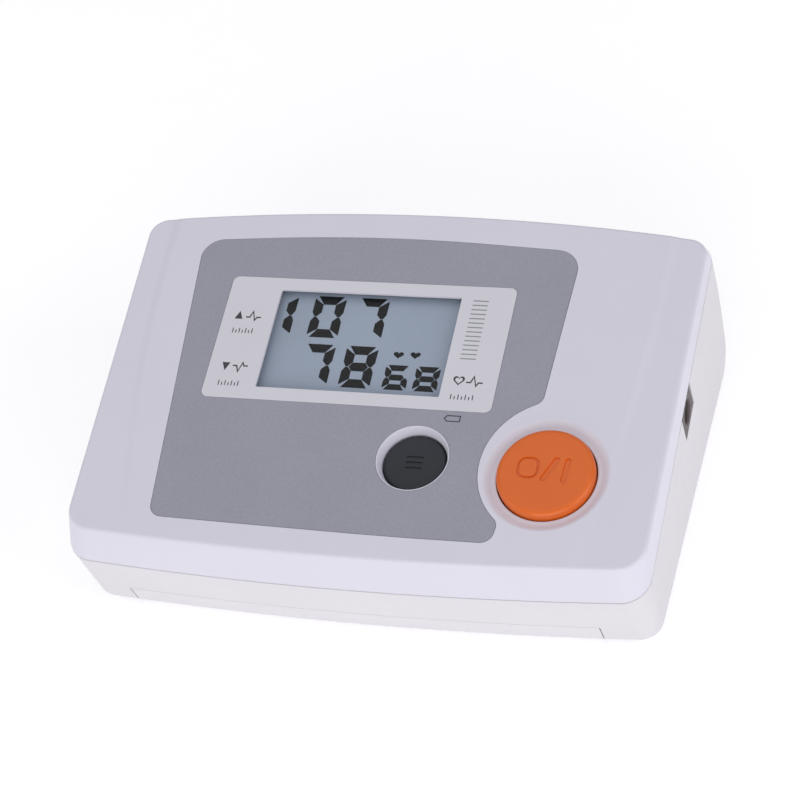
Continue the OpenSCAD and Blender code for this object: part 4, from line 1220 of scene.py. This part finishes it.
def make_window():
    b = Build()
    ring = lambda pts, w: b.loop([face(p[0], p[1], w) for p in pts])
    out = lambda g: rounded_rect(WIN[0], WIN[1], WIN[2] + g, WIN[3] + g, 2.0 + g / 2, 12)
    inn = lambda g: rounded_rect(VIEW[0], VIEW[1], 52 + g, 32 + g, 0.35 + g / 2, 6)
    a = [ring(out(0.0), -0.85), ring(out(0.0), -0.17), ring(out(-0.05), -0.10), ring(out(-0.14), -0.08)]
    c = [ring(inn(0.0), -0.85), ring(inn(0.0), -0.20), ring(inn(0.06), -0.11), ring(inn(0.18), -0.08)]
    b.bands(a)
    b.bands(c)
    b.cap((a[0], out(0.0)), [(c[0], inn(0.0))])
    b.cap((a[-1], out(-0.14)), [(c[-1], inn(0.18))])
    return b


to_object("window_plate", make_window(), M["window_white"], "unit", ("window_frame",))


def make_lens():
    b = Build()
    ring = lambda g, r, w: b.loop([face(p[0], p[1], w) for p in rounded_rect(VIEW[0], VIEW[1], 58 + g, 37 + g, r, 6)])
    pts = lambda g, r: rounded_rect(VIEW[0], VIEW[1], 58 + g, 37 + g, r, 6)
    a = [ring(-0.2, 0.5, -1.92), ring(0.0, 0.6, -1.82), ring(0.0, 0.6, -1.02), ring(-0.2, 0.5, -0.92)]
    b.bands(a)
    b.cap((a[0], pts(-0.2, 0.5)))
    b.cap((a[-1], pts(-0.2, 0.5)))
    return b


to_object("lens_plate", make_lens(), M["lens_clear"], "unit", ("display_lens",))

# ---------------------------------------------------- display segments
SEGS = {"0": "abcdef", "1": "bc", "6": "acdefg", "7": "abc", "8": "abcdefg"}


def segments(ch, x0, y0, w, h, t, g=0.11):
    """Outlines of a seven-segment digit with mitred ends."""
    k = 0.30 * t
    m = h / 2
    A = [(k + g, h - 0.06), (k + 0.3 + g, h), (w - k - 0.3 - g, h), (w - k - g, h - 0.06), (w - t - g * 0.6, h - t), (t + g * 0.6, h - t)]
    Bq = [(w - 0.10, h - k - g), (w, h - k - 0.4 - g), (w - 0.05, m + 0.55 * t), (w - 0.30 * t, m + g + 0.05), (w - 0.55 * t, m + g),
          (w - t, m + t / 2 + g * 0.6), (w - t, h - t - g * 0.6)]
    up = lambda P: [(x, h - y) for x, y in P]
    lf = lambda P: [(w - x, y) for x, y in P]
    G = [(0.62 * t + g, m), (t + g, m + t / 2), (w - t - g, m + t / 2), (w - 0.62 * t - g, m),
         (w - t - g, m - t / 2), (t + g, m - t / 2)]
    P = dict(a=A, b=Bq, c=up(Bq), d=up(A), e=lf(up(Bq)), f=lf(Bq), g=G)
    out = []
    for s in SEGS[ch]:
        pts = np.array(P[s]) + np.array([x0, y0])
        area = np.sum(pts[:, 0] * np.roll(pts[:, 1], -1) - np.roll(pts[:, 0], -1) * pts[:, 1])
        out.append(pts if area > 0 else pts[::-1])
    return out


def heart(cx, cy, w, h):
    t = np.linspace(0, 2 * math.pi, 40, endpoint=False)
    x = 16 * np.sin(t) ** 3
    y = 13 * np.cos(t) - 5 * np.cos(2 * t) - 2 * np.cos(3 * t) - np.cos(4 * t)
    return np.stack([cx - x / 16 * w / 2, cy + (y + 2.5) / 14.5 * h / 2], 1)


def make_digits():
    b = Build()
    put = lambda u, v, w: face(u, v, w)
    polys = []
    for ch, right in (("1", -30.6), ("0", -16.6), ("7", -4.1)):
        polys += segments(ch, right - 9.1, 13.85, 9.1, 13.6, 2.75, 0.05)
    for ch, right in (("7", -16.2), ("8", -3.9)):
        polys += segments(ch, right - 9.1, -1.75, 9.1, 13.4, 2.75, 0.05)
    for ch, right in (("6", 6.3), ("8", 14.9)):
        polys += segments(ch, right - 6.9, -1.7, 6.9, 7.9, 1.85, 0.05)
    polys.append(heart(2.05, 9.35, 2.9, 2.2))
    polys.append(heart(6.8, 9.5, 2.9, 2.2))
    for p in polys:
        b.prism(p, -2.84, -2.78, put)
    return b


to_object("display_segments", make_digits(), M["lcd_black"], "unit")


# ---------------------------------------------------------- printed marks
def stroke(pts, width, closed=False):
    """Outline of a line of one width, mitred, as one polygon or as an outer and an inner one."""
    pts = np.array(pts, float)
    n = len(pts)
    left, right = [], []
    for i in range(n):
        if closed or 0 < i < n - 1:
            a = pts[i] - pts[(i - 1) % n]
            c = pts[(i + 1) % n] - pts[i]
            a /= np.linalg.norm(a)
            c /= np.linalg.norm(c)
            t = a + c
            t /= np.linalg.norm(t)
            nn = np.array([-t[1], t[0]])
            s = 1.0 / max(0.5, float(nn @ np.array([-a[1], a[0]])))
        else:
            d = pts[1] - pts[0] if i == 0 else pts[-1] - pts[-2]
            d /= np.linalg.norm(d)
            nn, s = np.array([-d[1], d[0]]), 1.0
        left.append(pts[i] + nn * s * width / 2)
        right.append(pts[i] - nn * s * width / 2)
    if closed:
        return np.array(left), np.array(right)
    return np.array(left + right[::-1])


def bar(u0, v0, u1, v1, width, n=7):
    """A straight mark with round ends."""
    a, c = np.array([u0, v0], float), np.array([u1, v1], float)
    d = (c - a) / np.linalg.norm(c - a)
    ang = math.atan2(d[1], d[0])
    out = []
    for k in np.linspace(-90, 90, n):
        t = ang + math.radians(k)
        out.append(c + width / 2 * np.array([math.cos(t), math.sin(t)]))
    for k in np.linspace(90, 270, n):
        t = ang + math.radians(k)
        out.append(a + width / 2 * np.array([math.cos(t), math.sin(t)]))
    return np.array(out)


def make_ticks():
    b = Build()
    for i in range(14):
        v = 26.4 - i * (26.4 - 7.7) / 13
        b.prism(bar(20.45, v, 24.55, v, 0.34, 5), -0.10, -0.055, face)
    return b


to_object("scale_ticks", make_ticks(), M["print_light"], "unit")


def make_symbols():
    b = Build()

    def add(poly):
        b.prism(poly, -0.10, -0.055, face)

    def pulse(u0, v0, w, h, flip):
        s = -1 if flip else 1
        pts = [(0, 0), (0.26, 0), (0.42, s * 1.0), (0.62, -s * 0.55), (0.74, 0), (1, 0)]
        add(stroke([(u0 + w * p[0], v0 + h * p[1]) for p in pts], 0.42))

    def scale(u0, v0, w, h, count):
        for i in range(count):
            u = u0 + w * i / (count - 1)
            add(bar(u, v0, u, v0 + (h if i % 2 == 0 else h * 0.6), 0.26, 5))

    add(np.array([(-46.6, 16.9), (-44.3, 16.9), (-45.45, 19.5)]))
    pulse(-43.4, 17.6, 4.4, 1.9, False)
    scale(-46.1, 12.4, 5.6, 1.4, 7)
    add(np.array([(-45.25, -0.1), (-44.1, 2.5), (-46.4, 2.5)]))
    pulse(-43.2, 1.6, 4.4, 1.9, True)
    scale(-45.9, -4.8, 5.6, 1.4, 7)
    h = heart(21.4, 0.6, 3.2, 3.0)
    hi = np.array([21.4, 0.75]) + (h - np.array([21.4, 0.75])) * 0.66
    b.ring(h, hi, -0.10, -0.055, face)
    pulse(23.5, 0.3, 4.6, 1.9, False)
    scale(20.2, -5.1, 6.0, 1.4, 7)
    return b


to_object("panel_symbols", make_symbols(), M["print_dark"], "unit")


def make_battery_mark():
    b = Build()
    pts = [(19.85, -11.16), (20.55, -12.0), (24.14, -12.0), (24.14, -10.3), (20.55, -10.3)]
    a, c = stroke(pts, 0.3, closed=True)
    b.ring(c, a, -0.13, -0.075, face)
    return b


to_object("battery_mark", make_battery_mark(), M["print_dark"], "unit")


# ---------------------------------------------------------------- buttons
def make_button(centre, prof, marks, depth, n=192):
    """prof runs from the edge of the flat top, over the side and underneath to the axis."""
    b = Build()
    rows = []
    for r, w in prof:
        if r <= 1e-9:
            rows.append(b.loop([face(centre[0], centre[1], w)]) * n)
        else:
            rows.append(b.loop([face(p[0], p[1], w) for p in circle(*centre, r, n)]))
    b.bands(rows)
    top = prof[0][1]
    b.cap((rows[0], circle(*centre, prof[0][0], n)), place=lambda u, v: face(u, v, top),
          marks=marks, low=lambda u, v: face(u, v, top - depth))
    return b


def fillet(r, top, a, bb, n=12):
    """Quarter round from the flat top to the side: a across, bb down."""
    return [(r - a + a * math.sin(t), top - bb + bb * math.cos(t)) for t in np.linspace(0, math.pi / 2, n)]


loop_out = rounded_rect(45.6, -25.35, 5.9, 6.5, 2.3, 10, 0.6)
loop_in = rounded_rect(45.6, -25.35, 4.4, 5.0, 1.6, 10, 0.6)
to_object("start_cap", make_button(
    START, fillet(13.0, 1.4, 1.5, 1.3, 14) + [(13.0, -5), (14.3, -5), (14.3, -6.2), (11.4, -6.2), (11.4, -1.6), (2.4, -1.6), (2.4, -7.55), (0, -7.55)],
    [loop_out, loop_in, bar(52.7, -22.5, 50.0, -28.25, 1.7), bar(55.75, -22.6, 55.45, -28.45, 1.65)], 0.4),
    M["button_orange"], "start_button", ("start_button",))
to_object("memory_cap", make_button(
    MEMORY, fillet(8.5, -2.8, 0.75, 0.7, 9) + [(8.5, -5), (9.8, -5), (9.8, -6.1), (7.1, -6.1), (7.1, -4.4), (2.2, -4.4), (2.2, -7.55), (0, -7.55)],
    [bar(11.7, -22.1, 15.6, -22.1, 0.75), bar(11.7, -23.75, 15.6, -23.75, 0.75), bar(11.7, -25.4, 15.6, -25.4, 0.75)], 0.28),
    M["button_dark"], "memory_button", ("memory_button",))


# ----------------------------------------------------------- power socket
def make_jack():
    b = Build()
    cs, cw = 2.9, -5.225
    shape = lambda g, r: rounded_rect(cs, cw, 11.5 + g, 10.15 + g, r, 6)
    rows = []
    for x, g, r in ((66.7, 0.0, 0.4), (81.0, 0.0, 0.4), (81.17, -0.14, 0.4), (81.25, -0.4, 0.35)):
        rows.append(b.loop([seam(x, p[0], p[1]) for p in shape(g, r)]))
    b.bands(rows)
    hole = lambda r: circle(2.9, -5.3, r, 96)
    h = [b.loop([seam(x, p[0], p[1]) for p in hole(r)]) for x, r in
         ((81.25, 3.75), (81.1, 3.55), (80.8, 3.25), (80.65, 3.2), (70.7, 3.2), (70.7, 1.8), (66.7, 1.8))]
    b.bands(h)
    b.cap((rows[-1], shape(-0.4, 0.35)), [(h[0], hole(3.75))])
    b.cap((rows[0], shape(0.0, 0.4)), [(h[-1], hole(1.8))])
    return b


to_object("jack_body", make_jack(), M["jack_grey"], "unit", ("dc_jack",))


# --------------------------------------------------------------- air port
to_object("port_body", (lambda b: (b.lathe(
    [(0.9, -71.0), (0.9, -71.8), (0.9, -71.8), (2.2, -71.81), (2.2, -80.6), (2.35, -81.0), (2.7, -81.28), (4.9, -81.28), (5.25, -81.1), (5.4, -80.7),
     (5.4, -78.8), (7.0, -78.8), (7.0, -77.2), (5.4, -77.2), (5.4, -71.0), (1.9, -71.0), (1.9, -66.9), (1.8, -66.7), (0.9, -66.7), (0.9, -71.0)],
    at_x(12, 17.5), 96), b)[1])(Build()), M["port_grey"], "unit", ("air_port",))


# --------------------------------------------------------------- AA cells
def make_cells():
    b = Build()
    L, r = 50.5, 7.25
    prof = [(0, 0.12), (4.6, 0.12), (5.0, 0.0), (6.6, 0.0), (7.0, 0.15), (7.05, 0.5), (7.05, 0.9), (7.2, 1.05), (r, 1.2),
            (r, 10.0), (r, 10.0), (r, 37.5), (r, 37.5), (r, 48.0), (7.15, 48.6), (6.7, 48.95), (6.0, 49.15), (5.4, 49.2), (2.9, 49.25), (2.72, 49.4), (2.7, 50.2), (2.55, 50.42),
            (2.2, 50.5), (0, 50.5)]
    kind = [2, 2, 2, 2, 2, 2, 2, 0, 0, 0, 0, 0, 1, 1, 0, 0, 2, 2, 2, 2, 2, 2, 2]
    n = 72
    for i in (0, 1):
        for place in (lambda a, c, h, i=i: (54.1 - L - (L + 0.02) * i + h, -38.9 + a, 10.25 + c),
                      lambda a, c, h, i=i: (-54.1 + L + (L + 0.02) * i - h, -23.9 + a, 10.25 + c)):
            rows = []
            for rr, h in prof:
                if rr <= 1e-9:
                    rows.append(b.loop([place(0, 0, h)]) * n)
                else:
                    rows.append(b.loop([place(q[0], q[1], h) for q in circle(0, 0, rr, n)]))
            for k, (p, q) in enumerate(zip(rows, rows[1:])):
                b.mat = kind[k]
                b.band(p, q)
    return b


to_object("battery_cells", make_cells(), [M["cell_jacket"], M["cell_band"], M["cell_steel"]], "unit", ("aa_cells",))


# ------------------------------------------------------------ rubber feet
def make_feet():
    b = Build()
    for m in (-1, 1):
        for x, y in ((70.5, -41.5), (61, 39.5)):
            b.lathe([(0, -1.0), (3.2, -1.0), (3.75, -0.96), (4.15, -0.82), (4.4, -0.55), (4.5, -0.2), (4.5, 0.4), (0, 0.4)],
                    at_z(m * x, y), 64)
    return b


to_object("feet", make_feet(), M["foot_rubber"], "unit", ("rubber_feet",))


# ------------------------------------------------------- foam on the door
def make_foam():
    b = Build()
    nx, ny = 72, 14
    def top(x, y):
        ex = min(x + 40, 40 - x) / 1.2
        ey = min(y + 35, -27 - y) / 1.2
        e = smooth(np.array(min(ex, ey)))
        return 2.1 + 0.36 + 0.22 * float(e) + 0.012 * math.sin(x * 1.7) * math.cos(y * 2.3)
    xs, ys = np.linspace(-40, 40, nx), np.linspace(-35, -27, ny)
    up = [[b.loop([(x, y, top(x, y))])[0] for y in ys] for x in xs]
    dn = [[b.loop([(x, y, 2.1)])[0] for y in ys] for x in xs]
    for i in range(nx - 1):
        for j in range(ny - 1):
            b.face((up[i][j], up[i + 1][j], up[i + 1][j + 1], up[i][j + 1]))
            b.face((dn[i][j], dn[i][j + 1], dn[i + 1][j + 1], dn[i + 1][j]))
    edge = ([(i, 0) for i in range(nx)] + [(nx - 1, j) for j in range(1, ny)] +
            [(i, ny - 1) for i in range(nx - 2, -1, -1)] + [(0, j) for j in range(ny - 2, 0, -1)])
    b.band([up[i][j] for i, j in edge], [dn[i][j] for i, j in edge])
    return b


foam = to_object("door_pad", make_foam(), M["foam_dark"], "battery_door", ("door_foam",))

# --------------------------------------------------------- floor and light
floor_me = bpy.data.meshes.new("floor")
fb = bmesh.new()
bmesh.ops.create_grid(fb, x_segments=8, y_segments=8, size=6.0)
fb.to_mesh(floor_me)
fb.free()
floor = bpy.data.objects.new("floor", floor_me)
scene.collection.objects.link(floor)
fm = material("floor_pale", (248, 248, 249), 0.9, var=0.002, spec=0.1)
floor_me.materials.append(fm)
fsh = next(n for n in fm.node_tree.nodes if n.type == "BSDF_PRINCIPLED")
fsh.inputs["Emission Color"].default_value = (1, 1, 1, 1)
fsh.inputs["Emission Strength"].default_value = 0.32

world = bpy.data.worlds.new("studio")
scene.world = world
world.use_nodes = True
bg = next(n for n in world.node_tree.nodes if n.type == "BACKGROUND")
bg.inputs[0].default_value = (0.97, 0.975, 1.0, 1.0)
bg.inputs[1].default_value = 0.47


def softbox(name, loc, size, power, target=(0.0, 0.0, 0.03), col=(1, 1, 1)):
    d = bpy.data.lights.new(name, "AREA")
    d.shape = "RECTANGLE"
    d.size, d.size_y = size
    d.energy = power
    d.color = col
    o = bpy.data.objects.new(name, d)
    scene.collection.objects.link(o)
    o.location = loc
    o.rotation_euler = (Vector(loc) - Vector(target)).to_track_quat("Z", "Y").to_euler()
    return o


softbox("front_box", (0.15, -1.15, 0.42), (1.3, 0.8), 4.9, col=(1.0, 0.99, 0.955))
softbox("right_box", (1.15, -0.25, 0.55), (0.9, 0.9), 3.9, col=(1.0, 0.985, 0.99))
softbox("left_box", (-1.1, -0.45, 0.7), (0.9, 0.9), 1.9)
softbox("top_box", (-0.05, 0.25, 1.25), (1.3, 1.3), 2.2)

scene.view_settings.view_transform = "Standard"
scene.view_settings.look = "None"
